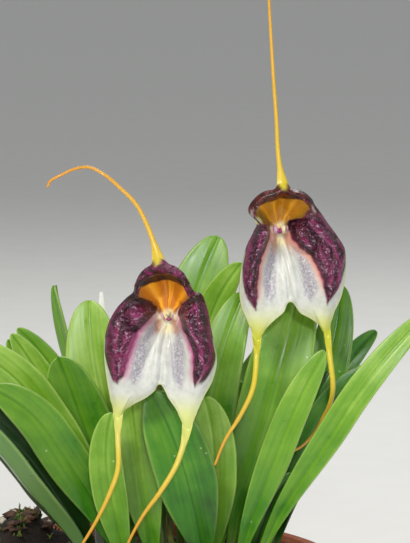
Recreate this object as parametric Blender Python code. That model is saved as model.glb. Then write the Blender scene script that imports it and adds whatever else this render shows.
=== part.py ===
"""A masdevallia orchid in flower, growing in a round clay pot of bark mix.

Blender 4.5. Run with: blender --background --python part.py

The plant is a tuft of leathery leaves, each on its own short stem in the mix,
with two blooms on thin stalks. Sizes in this file are millimetres, +Z up, and
the front of the plant faces -Y. The origin is the middle of the pot's base.
"""

import math
from dataclasses import dataclass

import bmesh
import bpy
from mathutils import Matrix, Vector

MM = 0.001

POT_HEIGHT = 82.5
POT_FOOT_RADIUS = 38.0
POT_NECK_RADIUS = 51.0
POT_RIM_RADIUS = 56.0
POT_RIM_DEPTH = 19.0
POT_WALL = 4.0
POT_FLOOR = 5.0
POT_SIDES = 64
DRAIN_HOLES = 5
DRAIN_RADIUS = 4.0
DRAIN_RING = 22.0

PLANT_FROM_POT = (10.0, 0.0, 0.0)
SOIL = 79.0
MOUND_MIDDLE = (-34.0, 18.0)
MOUND_HEIGHT = 14.5
MOUND_SPREAD = 11.0
FLAT_RADIUS = 34.0
GAP = 0.3
STEM_BURIED = 10.0
STEM_RADIUS = 1.15
HOLE_RADIUS = STEM_RADIUS + GAP

MIX_SIDES = 64
MIX_RINGS = (49.8, 47.3, 44.5, 41.5, 38.5, 35.5, 32.5, 29.5, 27.0)

LABEL_FOOT = (-20.0, 19.5)
LABEL_TOP = (-21.6, 19.5, 154.6)
LABEL_WIDTH = 8.0
LABEL_THICKNESS = 0.8
LABEL_TAPER = 26.0
LABEL_TURN_DEG = 30.0

FLOOR_RADIUS = 2.4
SEPAL_THICKNESS = 1.2
OVARY_RADIUS = 1.7
STALK_RADIUS = 0.9
TAIL_RADII = (0.65, 0.8, 0.8)


@dataclass(frozen=True)
class Leaf:
    """One leaf: where its stem stands, the points its midrib passes, and its blade."""

    name: str
    base: tuple
    middle: tuple
    tip: tuple
    width: float
    facing: tuple = (0.0, -1.0, 0.35)
    fold: float = 0.16


FRONT_LEAVES = [
    Leaf("leaf_front_centre", (7, -20), (2, -25, 113), (-7, -24, 135.5), 15),
    Leaf("leaf_front_right_centre", (8, -13), (9, -17, 118), (6.5, -17, 133), 11),
    Leaf("leaf_front_left_centre", (-6, -15), (-10.5, -17, 115), (-12.5, -16, 135.5), 10.5),
    Leaf("leaf_front_narrow_left", (-13, -20), (-18.5, -25, 116), (-17, -28, 131), 8.5),
    Leaf("leaf_left_long_lower", (-14, -13), (-32.5, -24, 124), (-46.5, -32, 138), 11),
    Leaf("leaf_left_long_upper", (-15, -7), (-37, -14.5, 131), (-56, -18, 147), 11.5),
    Leaf("leaf_left_lowest", (-21, -18), (-40, -30, 116), (-56, -36, 136), 9, (0.5, 0.6, 0.6), 0.3),
    Leaf("leaf_left_shaded", (-21, -11), (-35, -18, 112.5), (-52.5, -20, 130.5), 12),
    Leaf("leaf_left_broad", (-11, -5), (-24, -6, 119.5), (-31.5, -10, 142), 15),
    Leaf("leaf_left_round_back", (-8, 3), (-21.5, 5, 130.8), (-24.4, 9, 154), 16),
    Leaf("leaf_left_small_a", (-14, 1), (-33.5, -2, 129), (-44, -4, 147), 8),
    Leaf("leaf_left_small_b", (-18, 6), (-36, 4, 125.5), (-45.5, 2, 144.5), 7),
    Leaf("leaf_left_small_c", (-13, 10), (-32, 9, 131), (-43.5, 8, 146.5), 7),
    Leaf("leaf_left_spire", (-8, 13), (-27.5, 13.5, 130), (-34, 12, 157.5), 7, (-0.85, -0.5, 0.2)),
    Leaf("leaf_back_tall", (0, 8), (1.5, 9, 140.5), (10.3, 14, 170.5), 17),
    Leaf("leaf_back_slim", (4, 2), (6, 2, 143), (16, -2, 165.5), 9.5),
    Leaf("leaf_centre_tall", (5, -7), (9, -9, 133), (16.7, -4, 158), 12),
    Leaf("leaf_centre_slim", (9, -3), (15, -3, 117), (15.5, -3, 134.5), 8),
    Leaf("leaf_right_broad", (12, -8), (24, -12, 132.5), (32, -3, 160.5), 16),
    Leaf("leaf_right_front", (14, -18), (26, -21, 122.5), (37, -20, 145.5), 8),
    Leaf("leaf_right_tall", (15, 1), (37, -3, 133.5), (42.3, 3, 159), 11),
    Leaf("leaf_right_inner", (18, -2), (31, -6, 122.5), (39, -5, 137.5), 6),
    Leaf("leaf_right_small_back", (20, 5), (38.3, 7, 127.5), (52.6, 12, 145.2), 7, (0.6, -0.5, 0.7)),
    Leaf("leaf_right_small_front", (23, -9), (34.5, -11, 121.5), (48.5, -10, 139.5), 7.5),
    Leaf("leaf_right_long", (18.5, -18), (41, -26, 129.5), (63.5, -22, 156), 7),
    Leaf("leaf_right_short", (18, -11), (23, -14, 102.5), (29.5, -14, 112), 6.5),
]

BACK_LEAVES = [
    Leaf("leaf_rear_a", (-10, 22), (-20, 31, 108), (-34, 38, 127), 12, (0.3, -0.8, 0.5)),
    Leaf("leaf_rear_b", (-5, 20), (-9, 33, 116), (-16, 47, 138), 13, (0.1, -0.9, 0.5)),
    Leaf("leaf_rear_c", (3, 21), (5, 36, 118), (9, 52, 140), 14, (0, -0.9, 0.5)),
    Leaf("leaf_rear_d", (10, 18), (17, 30, 117), (28, 44, 138), 12, (-0.2, -0.9, 0.5)),
    Leaf("leaf_rear_e", (16, 13), (26, 20, 116), (40, 28, 133), 12, (-0.4, -0.8, 0.5)),
    Leaf("leaf_rear_f", (5, 13), (8, 20, 126), (12, 26, 150), 12, (0, -1, 0.4)),
    Leaf("leaf_rear_g", (-24, 9), (-34, 12, 107), (-46, 15, 124), 10, (0.4, -0.7, 0.6)),
    Leaf("leaf_rear_h", (22, 11), (32, 15, 106), (42, 20, 122), 10, (-0.4, -0.7, 0.6)),
]


@dataclass(frozen=True)
class Bloom:
    """One bloom: its outline round the throat, how it is turned, and its tails and stalk."""

    name: str
    throat: tuple
    turn_deg: float
    outline: tuple
    tail_tips: tuple
    dorsal_tail: tuple
    right_tail: tuple
    left_tail: tuple
    stalk: tuple


# The outline runs clockwise as seen from the front, across and up from the throat,
# from the top sepal's tail base to the right tail, the notch, the left tail and back.
LOWER_BLOOM = Bloom(
    name="lower_bloom",
    throat=(-2.5, -27.0, 156.0),
    turn_deg=-5.0,
    outline=(
        (-2.1, 15.2), (0.5, 14.4), (4.2, 12.1), (6.0, 9.2), (7.1, 7.1), (8.9, 6.3), (10.2, 2.9),
        (11.0, -2.1), (12.1, -7.3), (12.6, -11.0), (11.5, -15.7), (9.4, -19.7), (7.9, -23.1),
        (6.8, -26.2), (5.5, -27.8), (3.9, -26.2), (2.6, -23.1), (0.5, -19.9), (-0.5, -17.8),
        (-1.6, -16.5), (-2.9, -18.3), (-5.2, -20.2), (-8.4, -22.0), (-10.7, -23.8), (-12.3, -25.4),
        (-13.6, -23.1), (-14.4, -19.4), (-15.2, -14.7), (-15.7, -10.0), (-15.5, -5.5),
        (-14.4, -1.3), (-12.3, 2.4), (-9.7, 5.2), (-8.1, 6.6), (-7.6, 8.6), (-6.3, 11.3),
        (-4.5, 13.1), (-3.4, 13.9),
    ),
    tail_tips=(0, 14, 24),
    dorsal_tail=(
        (-6, -33, 174.5), (-8, -31, 179.5), (-10.5, -30, 184), (-14.5, -29, 188), (-18, -29, 191),
        (-22, -29, 193), (-25.5, -30, 192.7), (-29, -31, 191.2), (-31.5, -31, 189.8),
        (-32.2, -31, 188.3),
    ),
    right_tail=(
        (1.6, -36, 126), (-0.6, -38.5, 120), (-4.3, -40, 114), (-8.5, -39.5, 108),
        (-11.5, -38.5, 102.5), (-13.2, -38, 98.5),
    ),
    left_tail=(
        (-15, -36, 126), (-15, -37.5, 119), (-17, -38, 113), (-20, -37.5, 106.5), (-24, -36.5, 99.5),
        (-26, -36, 96.5),
    ),
    stalk=((-2, -3, SOIL), (-4, -4, 118), (-6, -9, 140), (-4.5, -17, 152.5)),
)

UPPER_BLOOM = Bloom(
    name="upper_bloom",
    throat=(25.2, -16.0, 176.5),
    turn_deg=6.0,
    outline=(
        (0.0, 12.0), (1.8, 11.0), (5.0, 10.0), (7.3, 8.1), (8.1, 6.6), (9.7, 4.5), (11.8, 1.6),
        (14.3, -1.8), (16.3, -5.2), (16.6, -8.9), (16.2, -13.6), (15.2, -17.6), (13.6, -21.0),
        (12.6, -24.6), (11.8, -27.0), (10.7, -26.2), (9.4, -24.1), (7.3, -22.5), (4.7, -21.0),
        (2.1, -18.1), (0.5, -20.7), (-1.6, -22.5), (-3.7, -24.6), (-5.0, -26.7), (-6.3, -27.8),
        (-7.6, -25.7), (-8.9, -22.5), (-10.2, -19.4), (-10.7, -15.7), (-10.5, -11.5),
        (-9.7, -7.1), (-8.6, -3.1), (-7.1, -0.3), (-6.5, 2.1), (-8.6, 4.7), (-8.1, 7.1),
        (-5.5, 9.7), (-1.8, 11.0),
    ),
    tail_tips=(0, 14, 24),
    dorsal_tail=(
        (24.9, -22, 195), (24.4, -21, 204), (23.5, -20, 216.5), (22.8, -19, 228), (22.2, -19.5, 237),
        (21.2, -20.5, 245),
    ),
    right_tail=(
        (38, -25, 144.5), (38.8, -25, 137.5), (38.3, -21.5, 132), (36.5, -17.0, 127),
        (34.2, -15.2, 122.5), (31.5, -15.5, 119.7), (29, -16.5, 118.5),
    ),
    left_tail=(
        (19.5, -27, 145.5), (18.5, -29, 137.5), (15.5, -30, 131), (11.5, -30.5, 124.5), (9, -29.5, 118),
    ),
    stalk=((9.5, 5.5, SOIL), (18, 5, 120), (25, 4, 155), (26, -2, 168)),
)

# How far the sepals stand forward of the throat's floor. The rows are directions from
# the top of the bloom, in degrees, and the columns are shares of the way to its edge.
RELIEF_SHARES = (0.0, 0.10, 0.25, 0.42, 0.60, 0.78, 0.90, 1.0)
RELIEF = {
    0: (0, 1.2, 2.2, 3.4, 5.4, 9.4, 10.0, 8.6),
    30: (0, 1.4, 2.8, 4.6, 6.6, 9.2, 9.6, 8.0),
    60: (0, 2.2, 4.6, 6.6, 8.2, 9.0, 8.6, 7.4),
    90: (0, 4.0, 7.8, 9.6, 9.8, 8.8, 7.2, 5.2),
    120: (0, 4.0, 7.6, 9.4, 10.0, 9.2, 7.6, 5.4),
    145: (0, 3.4, 6.0, 7.8, 8.8, 8.6, 7.6, 6.0),
    162: (0, 2.8, 4.6, 6.2, 7.4, 7.8, 7.4, 6.6),
    180: (0, 2.2, 3.6, 5.0, 6.4, 7.0, 7.2, 7.0),
}
RING_SHARES = (0.0, 0.10, 0.25, 0.42, 0.60, 0.78, 1.0)


def clear_scene():
    """Removes the objects that the scene starts with."""
    for thing in list(bpy.data.objects):
        bpy.data.objects.remove(thing)


def material(name, colour, roughness, metallic=0.0):
    """A Principled material, made once for each name."""
    found = bpy.data.materials.get(name)
    if found:
        return found
    made = bpy.data.materials.new(name)
    made.use_nodes = True
    shader = made.node_tree.nodes["Principled BSDF"]
    shader.inputs["Base Color"].default_value = (*colour, 1.0)
    shader.inputs["Roughness"].default_value = roughness
    shader.inputs["Metallic"].default_value = metallic
    return made


def add_object(name, bm, finish, smooth_deg=40.0, shift=(0, 0, 0)):
    """Turns a bmesh in millimetres into a named object in metres."""
    bmesh.ops.recalc_face_normals(bm, faces=bm.faces)
    bmesh.ops.translate(bm, vec=shift, verts=bm.verts)
    bmesh.ops.scale(bm, vec=(MM, MM, MM), verts=bm.verts)
    mesh = bpy.data.meshes.new(name)
    bm.to_mesh(mesh)
    bm.free()
    mesh.shade_smooth()
    mesh.set_sharp_from_angle(angle=math.radians(smooth_deg))
    thing = bpy.data.objects.new(name, mesh)
    thing.data.materials.append(finish)
    bpy.context.scene.collection.objects.link(thing)
    return thing


def smooth_step(value, low, high):
    """0 below low, 1 above high, and an even S between them."""
    share = min(1.0, max(0.0, (value - low) / (high - low)))
    return share * share * (3 - 2 * share)


def hermite(start, into, end, out, part):
    """A point of the cubic curve from start to end that leaves along into and arrives along out."""
    return (
        start * (2 * part**3 - 3 * part**2 + 1)
        + into * (part**3 - 2 * part**2 + part)
        + end * (3 * part**2 - 2 * part**3)
        + out * (part**3 - part**2)
    )


def spline_point(points, position):
    """A smooth curve through the points; position counts points, so 1.5 is half way from 1 to 2."""
    last = len(points) - 1
    index = min(last - 1, max(0, int(position)))
    start, end = points[index], points[index + 1]
    before = points[index - 1] if index > 0 else start
    after = points[index + 2] if index + 2 <= last else end
    length = (end - start).length
    into = (end - before).normalized() * length
    out = (after - start).normalized() * length
    return hermite(start, into, end, out, position - index)


def extrude_ring(bm, ring):
    """Extrudes a closed ring of vertices, and returns the new ring in the same order."""
    edges = [bm.edges.get((a, b)) for a, b in zip(ring, ring[1:] + ring[:1])]
    made = bmesh.ops.extrude_edge_only(bm, edges=edges)["geom"]
    fresh = {piece for piece in made if isinstance(piece, bmesh.types.BMVert)}
    return [next(e.other_vert(v) for e in v.link_edges if e.other_vert(v) in fresh) for v in ring]


def place(ring, section):
    """Puts each vertex of a ring on its point of the section."""
    for vertex, point in zip(ring, section):
        vertex.co = point


def cap(bm, ring):
    """Closes a ring with one face."""
    bm.faces.new(ring)


def loft(sections):
    """A closed skin through sections of the same number of points."""
    bm = bmesh.new()
    ring = bmesh.ops.create_circle(bm, segments=len(sections[0]), radius=1.0)["verts"]
    place(ring, sections[0])
    cap(bm, ring)
    for section in sections[1:]:
        ring = extrude_ring(bm, ring)
        place(ring, section)
    cap(bm, ring)
    return bm


def tube_sections(points, radii, sides, spacing=1):
    """Round sections along a smooth path, with the radius given at each path point."""
    sections = []
    steps = (len(points) - 1) * spacing
    across = None
    for step in range(steps + 1):
        position = step / spacing
        here = spline_point(points, position)
        ahead = spline_point(points, min(len(points) - 1, position + 0.05))
        behind = spline_point(points, max(0, position - 0.05))
        along = (ahead - behind).normalized()
        if across is None:
            across = along.orthogonal()
        across = (across - along * across.dot(along)).normalized()
        up = along.cross(across)
        low = min(len(radii) - 2, int(position))
        radius = radii[low] + (radii[low + 1] - radii[low]) * (position - low)
        sections.append([
            here + (across * math.cos(turn) + up * math.sin(turn)) * radius
            for turn in (math.tau * i / sides for i in range(sides))
        ])
    return sections


# Where the leaf's cross-section has its eight corners: across in half-widths, and how
# much of the fold, the edge and the midrib each one takes.
BLADE_CORNERS = (
    (-1.0, 1.0, 0.32), (-0.5, 0.46, 0.46), (0.0, 0.0, 0.42), (0.5, 0.46, 0.46),
    (1.0, 1.0, 0.32), (1.0, 1.0, -0.32), (0.0, 0.0, -0.95), (-1.0, 1.0, -0.32),
)
STEM_CORNERS_DEG = (165, 125, 90, 55, 15, -25, -90, -155)
BLADE_STATIONS = (0.0, 0.12, 0.26, 0.42, 0.58, 0.72, 0.84, 0.93, 0.985)
WIDEST = 0.64


def leaf_spine(leaf, share):
    """A point of the midrib: share 0 is where the stem leaves the mix and 1 is the tip."""
    collar = Vector((*leaf.base, SOIL + 1.0))
    middle, tip = Vector(leaf.middle), Vector(leaf.tip)
    lower, upper = (middle - collar).length, (tip - middle).length
    turn = lower / (lower + upper)
    through = (tip - collar).normalized()
    if share <= turn:
        start, end, length, part = collar, middle, lower, share / turn
        into, out = Vector((0, 0, 1)) * 0.8 + (middle - collar).normalized() * 0.2, through
    else:
        start, end, length, part = middle, tip, upper, (share - turn) / (1 - turn)
        into, out = through, ((tip - middle).normalized() * 2 - through).normalized()
    return hermite(start, into.normalized() * length, end, out * length, part)


def leaf_half_width(leaf, share):
    """Half of the leaf's width: a thin stem, a slim stalk, the broad blade and a round tip."""
    half = STEM_RADIUS + (leaf.width / 2 - STEM_RADIUS) * smooth_step(share, 0.10, WIDEST - 0.04)
    if share > WIDEST:
        half *= math.sqrt(max(0.0, 1 - ((share - WIDEST) / (1 - WIDEST)) ** 2.3))
    return half


def leaf_section(leaf, share):
    """The eight corners of the leaf's cross-section."""
    here = leaf_spine(leaf, share)
    along = (leaf_spine(leaf, min(1, share + 0.01)) - leaf_spine(leaf, max(0, share - 0.01))).normalized()
    facing = Vector(leaf.facing)
    up = (facing - along * facing.dot(along)).normalized()
    across = along.cross(up)
    half = leaf_half_width(leaf, share)
    flatness = smooth_step(share, 0.06, 0.30)
    fold = leaf.fold + (0.8 - leaf.fold) * (1 - smooth_step(share, 0.14, 0.5))
    corners = []
    for (side, lift, skin), angle in zip(BLADE_CORNERS, STEM_CORNERS_DEG):
        turn = math.radians(angle)
        stem = Vector((math.cos(turn), math.sin(turn))) * STEM_RADIUS
        blade = Vector((side * half, lift * fold * half + skin))
        flat = stem.lerp(blade, flatness)
        corners.append(here + across * flat.x + up * flat.y)
    return corners


def make_leaf(leaf, finish):
    """A leaf with its stem, from inside the mix to the tip."""
    collar = leaf_section(leaf, 0.0)
    root = [Vector((p.x, p.y, SOIL - STEM_BURIED)) for p in collar]
    sections = [root] + [leaf_section(leaf, share) for share in BLADE_STATIONS]
    return add_object(leaf.name, loft(sections), finish, 50.0, PLANT_FROM_POT)


def relief(angle_deg, share):
    """How far forward the sepals stand, from the relief rows, smooth both ways."""
    rows = sorted(RELIEF)
    angle = min(180.0, abs(angle_deg))
    low = max(i for i, row in enumerate(rows) if row <= angle)
    low = min(low, len(rows) - 2)
    between = smooth_step(angle, rows[low], rows[low + 1])
    column = max(i for i, at in enumerate(RELIEF_SHARES) if at <= share)
    column = min(column, len(RELIEF_SHARES) - 2)
    part = (share - RELIEF_SHARES[column]) / (RELIEF_SHARES[column + 1] - RELIEF_SHARES[column])
    heights = []
    for row in (rows[low], rows[low + 1]):
        marks = (RELIEF[row][0], *RELIEF[row], RELIEF[row][-1])
        before, start, end, after = marks[column:column + 4]
        heights.append(hermite(start, (end - before) / 2, end, (after - start) / 2, part))
    return heights[0] + (heights[1] - heights[0]) * between


def bloom_place(bloom):
    """The matrix from the bloom's own frame, across, back and up from the throat, to the plant's."""
    turn = Matrix.Rotation(math.radians(bloom.turn_deg), 4, "Z")
    return Matrix.Translation(Vector(bloom.throat)) @ turn


def sepal_grid(bloom):
    """The front face of the joined sepals as rings of points, from the floor out to the edge."""
    rings = []
    for share in RING_SHARES:
        ring = []
        for across, up in bloom.outline:
            edge = Vector((across, 0, up))
            inner = edge.normalized() * FLOOR_RADIUS
            point = inner.lerp(edge, share)
            angle = math.degrees(math.atan2(across, up))
            point.y = -relief(angle, share)
            ring.append(point)
        rings.append(ring)
    return rings


def sepal_back(rings):
    """The back face: each point of the front moved back by the sepals' thickness."""
    backs = []
    count = len(rings[0])
    for row, ring in enumerate(rings):
        back = []
        for i, point in enumerate(ring):
            if row == 0:
                outward = point.normalized()
                back.append(point + (outward + Vector((0, 1, 0))) * SEPAL_THICKNESS)
                continue
            around = ring[(i + 1) % count] - ring[i - 1]
            out = rings[min(row + 1, len(rings) - 1)][i] - rings[row - 1][i]
            normal = around.cross(out).normalized()
            if normal.y > 0:
                normal = -normal
            back.append(point - normal * SEPAL_THICKNESS)
        backs.append(back)
    return backs


def add_tail(bm, ring, path, slim_radius, tip_radius=0.45):
    """Draws a tail out of an open ring of edge vertices, along a path, to a thin tip."""
    centre = sum((v.co for v in ring), Vector()) / len(ring)
    points = [centre] + path
    lengths = [0.0]
    for a, b in zip(points, points[1:]):
        lengths.append(lengths[-1] + (b - a).length)
    total = lengths[-1]
    starts = [v.co - centre for v in ring]
    base_radius = sum(s.length for s in starts) / len(starts) * 0.75
    front = sum(starts[: len(starts) // 2], Vector())
    along = (points[1] - points[0]).normalized()
    first = (front - along * front.dot(along)).normalized()
    second = along.cross(first)
    sign = 1.0 if (starts[len(starts) // 2 - 1] - starts[0]).dot(second) > 0 else -1.0
    spacing = 2 if len(points) < 8 else 1
    steps = (len(points) - 1) * spacing
    for step in range(1, steps + 1):
        position = step / spacing
        here = spline_point(points, position)
        behind = spline_point(points, position - 0.05)
        ahead = spline_point(points, min(len(points) - 1, position + 0.05))
        along = (ahead - behind).normalized()
        first = (first - along * first.dot(along)).normalized()
        second = along.cross(first)
        index = min(len(points) - 2, int(position))
        gone = lengths[index] + (position - index) * (lengths[index + 1] - lengths[index])
        radius = slim_radius + (base_radius - slim_radius) * math.exp(-gone / 3.5)
        radius += (tip_radius - slim_radius) * smooth_step(gone / total, 0.5, 1.0)
        roundness = smooth_step(gone, 0.0, 6.0)
        section = []
        for i, start in enumerate(starts):
            turn = ((i + 0.5) / len(starts) * math.tau - math.pi / 2) * sign
            rounded = (first * math.cos(turn) + second * math.sin(turn)) * radius
            section.append(here + (start * (radius / base_radius)).lerp(rounded, roundness))
        ring = extrude_ring(bm, ring)
        place(ring, section)
    cap(bm, ring)


def make_sepals(bloom, finish):
    """The three joined sepals of a bloom: the cup, the broad face and the three long tails."""
    where = bloom_place(bloom)
    fronts = sepal_grid(bloom)
    backs = sepal_back(fronts)
    bm = bmesh.new()
    ring = bmesh.ops.create_circle(bm, segments=len(bloom.outline), radius=1.0)["verts"]
    order = fronts + backs[::-1]
    place(ring, order[0])
    cap(bm, ring)
    edge_front = edge_back = None
    for number, points in enumerate(order[1:], start=1):
        ring = extrude_ring(bm, ring)
        place(ring, points)
        if number == len(fronts) - 1:
            edge_front = ring
        if number == len(fronts):
            edge_back = ring
    cap(bm, ring)
    bmesh.ops.transform(bm, matrix=where, verts=bm.verts)
    count = len(bloom.outline)
    tails = (bloom.dorsal_tail, bloom.right_tail, bloom.left_tail)
    for tip, tail, slim in zip(bloom.tail_tips, tails, TAIL_RADII):
        spots = [(tip + step) % count for step in (-1, 0, 1)]
        loop = [edge_front[i] for i in spots] + [edge_back[i] for i in reversed(spots)]
        for a, b in zip(spots, spots[1:]):
            wall = {edge_front[a], edge_front[b], edge_back[a], edge_back[b]}
            bmesh.ops.delete(bm, geom=[f for f in bm.faces if set(f.verts) == wall], context="FACES")
        add_tail(bm, loop, [Vector(p) for p in tail], slim)
    return add_object(bloom.name + "_sepals", bm, finish, 60.0, PLANT_FROM_POT)


def oval_sections(points, widths, thickness, across, sides=6):
    """Flat oval sections along a short path, for the small inner parts of a bloom."""
    sections = []
    for i, (point, width) in enumerate(zip(points, widths)):
        along = points[min(i + 1, len(points) - 1)] - points[max(i - 1, 0)]
        side = (across - along.normalized() * across.dot(along.normalized())).normalized()
        up = along.normalized().cross(side)
        sections.append([
            point + side * math.cos(turn) * width / 2 + up * math.sin(turn) * thickness / 2
            for turn in (math.tau * k / sides for k in range(sides))
        ])
    return sections


def make_inner_parts(bloom, finishes):
    """The column, the two small petals and the lip, standing on the throat's floor."""
    where = bloom_place(bloom)
    sideways, upright = Vector((1, 0, 0)), Vector((0, 0, 1))
    parts = {
        "column": (
            [Vector((0, -d, 0.5 + lift)) for d, lift in ((GAP, 0), (2, 0.2), (4.0, 0.1), (5.2, -0.3))],
            (1.3, 1.2, 1.5, 0.9), 1.3, sideways, finishes["column"],
        ),
        "petal_left": (
            [Vector((-x, -d, z)) for x, d, z in
             ((1.5, GAP, 0.1), (1.5, 2, 0.1), (1.55, 3.8, 0), (1.5, 5.2, -0.3))],
            (1.5, 2.2, 2.2, 1.0), 0.65, upright, finishes["petal"],
        ),
        "petal_right": (
            [Vector((x, -d, z)) for x, d, z in
             ((1.5, GAP, 0.1), (1.5, 2, 0.1), (1.55, 3.8, 0), (1.5, 5.2, -0.3))],
            (1.5, 2.2, 2.2, 1.0), 0.65, upright, finishes["petal"],
        ),
        "lip": (
            [Vector((0, -d, z)) for d, z in ((GAP, -1.3), (1.8, -1.35), (3.8, -1.4), (5.6, -1.9))],
            (1.1, 1.4, 1.6, 1.2), 0.65, sideways, finishes["lip"],
        ),
    }
    for part, (points, widths, thickness, across, finish) in parts.items():
        bm = loft(oval_sections(points, widths, thickness, across))
        bmesh.ops.transform(bm, matrix=where, verts=bm.verts)
        add_object(f"{bloom.name}_{part}", bm, finish, 60.0, PLANT_FROM_POT)


def stalk_path(bloom):
    """The flower stalk's path: up out of the mix, and forward into the back of the cup."""
    where = bloom_place(bloom)
    seat = where @ Vector((0, SEPAL_THICKNESS + GAP, 0))
    behind = where @ Vector((0, SEPAL_THICKNESS + 6.0, -0.4))
    collar = Vector(bloom.stalk[0])
    return [collar, collar + Vector((0, 0, 4))] + [Vector(p) for p in bloom.stalk[1:]] + [behind, seat]


def make_stalk(bloom, finish):
    """The thin flower stalk, with its bract and the swollen ovary behind the bloom."""
    path = stalk_path(bloom)
    radii = [STALK_RADIUS] * (len(path) - 3) + [STALK_RADIUS * 1.25, OVARY_RADIUS, OVARY_RADIUS * 0.8]
    sections = tube_sections(path, radii, 7, 3)
    root = [Vector((p.x, p.y, SOIL - STEM_BURIED)) for p in sections[0]]
    bm = loft([root] + sections)
    return add_object(bloom.name + "_stalk", bm, finish, 60.0, PLANT_FROM_POT)


def pot_profile():
    """The pot's outline, radius and height, from the middle of the foot up and back down inside."""
    step = POT_HEIGHT - POT_RIM_DEPTH
    lip = 1.2
    inner_top = POT_RIM_RADIUS - POT_WALL - 1.0
    inner_neck = POT_NECK_RADIUS - POT_WALL
    return [
        (0, 0), (POT_FOOT_RADIUS - 1, 0), (POT_FOOT_RADIUS, 1), (POT_NECK_RADIUS, step),
        (POT_RIM_RADIUS - 1.4, step), (POT_RIM_RADIUS - 0.4, step + 1.0),
        (POT_RIM_RADIUS, POT_HEIGHT - lip), (POT_RIM_RADIUS - lip, POT_HEIGHT),
        (inner_top + lip, POT_HEIGHT), (inner_top, POT_HEIGHT - lip),
        (inner_neck, step - 2), (POT_FOOT_RADIUS - POT_WALL, POT_FLOOR), (0, POT_FLOOR),
    ]


def spun(profile, sides):
    """A closed solid of revolution from a profile that starts and ends on the axis."""
    bm = bmesh.new()
    chain = [bm.verts.new((radius, 0, height)) for radius, height in profile]
    edges = [bm.edges.new(pair) for pair in zip(chain, chain[1:])]
    bmesh.ops.spin(
        bm, geom=chain + edges, cent=(0, 0, 0), axis=(0, 0, 1), angle=math.tau,
        steps=sides, use_merge=True,
    )
    bmesh.ops.remove_doubles(bm, verts=bm.verts, dist=0.001)
    return bm


def cut(target, cutters, operation="DIFFERENCE"):
    """Applies one Boolean with a joined cutter to the target, and removes the cutter."""
    tool = add_object("cutter", cutters, target.data.materials[0])
    boolean = target.modifiers.new("holes", "BOOLEAN")
    boolean.object = tool
    boolean.operation = operation
    boolean.solver = "EXACT"
    graph = bpy.context.evaluated_depsgraph_get()
    target.data = bpy.data.meshes.new_from_object(target.evaluated_get(graph))
    target.modifiers.clear()
    bpy.data.objects.remove(tool)


def make_pot(finish):
    """The round clay pot with its rolled rim and drain holes."""
    pot = add_object("pot", spun(pot_profile(), POT_SIDES), finish)
    holes = bmesh.new()
    for number in range(DRAIN_HOLES):
        turn = math.tau * number / DRAIN_HOLES
        centre = (DRAIN_RING * math.cos(turn), DRAIN_RING * math.sin(turn), POT_FLOOR / 2)
        bmesh.ops.create_cone(
            holes, cap_ends=True, segments=12, radius1=DRAIN_RADIUS, radius2=DRAIN_RADIUS,
            depth=POT_FLOOR * 3, matrix=Matrix.Translation(centre),
        )
    cut(pot, holes)
    return pot


def soil_height(x, y):
    """The top of the mix: flat round the stems, lumpy beyond, and heaped up at the left."""
    radius = math.hypot(x, y)
    lumps = 1.1 * math.sin(x * 0.41 + 1.1) * math.cos(y * 0.37) + 0.8 * math.sin(x * 0.83 - y * 0.71)
    away = ((x - MOUND_MIDDLE[0]) ** 2 + (y - MOUND_MIDDLE[1]) ** 2) / MOUND_SPREAD**2
    edge = 1 - smooth_step(radius, FLAT_RADIUS + 9, mix_radius())
    heap = MOUND_HEIGHT * math.exp(-away / 2) * edge
    return SOIL + (lumps * edge + heap) * smooth_step(radius, FLAT_RADIUS - 7, FLAT_RADIUS + 2)


def mix_radius():
    """The mix's radius at its top, just inside the pot's sloping wall."""
    return POT_RIM_RADIUS - POT_WALL - 2.0


def make_mix(finish, holes_at):
    """The bark mix that fills the pot, with a plain hole for each stem and a slot for the label."""
    step = POT_HEIGHT - POT_RIM_DEPTH - 2
    low = (POT_FOOT_RADIUS - POT_WALL - GAP, POT_FLOOR + GAP)
    walls = [low, (POT_NECK_RADIUS - POT_WALL - GAP, step), (mix_radius() - 0.1, SOIL - 1.0)]
    turns = [math.tau * k / MIX_SIDES for k in range(MIX_SIDES)]
    sections = [[Vector((r * math.cos(t), r * math.sin(t), z)) for t in turns] for r, z in walls]
    for radius in MIX_RINGS:
        flat = [(radius * math.cos(t), radius * math.sin(t)) for t in turns]
        sections.append([Vector((x, y, soil_height(x, y))) for x, y in flat])
    bm = loft(sections)
    bmesh.ops.triangulate(bm, faces=[f for f in bm.faces if len(f.verts) == 4])
    mix = add_object("bark_mix", bm, finish, 35.0)
    holes = bmesh.new()
    for x, y, radius in holes_at:
        bmesh.ops.create_cone(
            holes, cap_ends=True, segments=8, radius1=radius, radius2=radius,
            depth=2 * (STEM_BURIED + GAP),
            matrix=Matrix.Translation((x + PLANT_FROM_POT[0], y + PLANT_FROM_POT[1], SOIL)),
        )
    slot = Matrix.Translation((LABEL_FOOT[0] + PLANT_FROM_POT[0], LABEL_FOOT[1] + PLANT_FROM_POT[1], SOIL))
    slot = slot @ Matrix.Rotation(math.radians(LABEL_TURN_DEG), 4, "Z")
    size = (LABEL_WIDTH + 2 * GAP, LABEL_THICKNESS + 2 * GAP, 2 * (STEM_BURIED + GAP), 1.0)
    bmesh.ops.create_cube(holes, size=1.0, matrix=slot @ Matrix.Diagonal(size))
    cut(mix, holes)
    return mix


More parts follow.
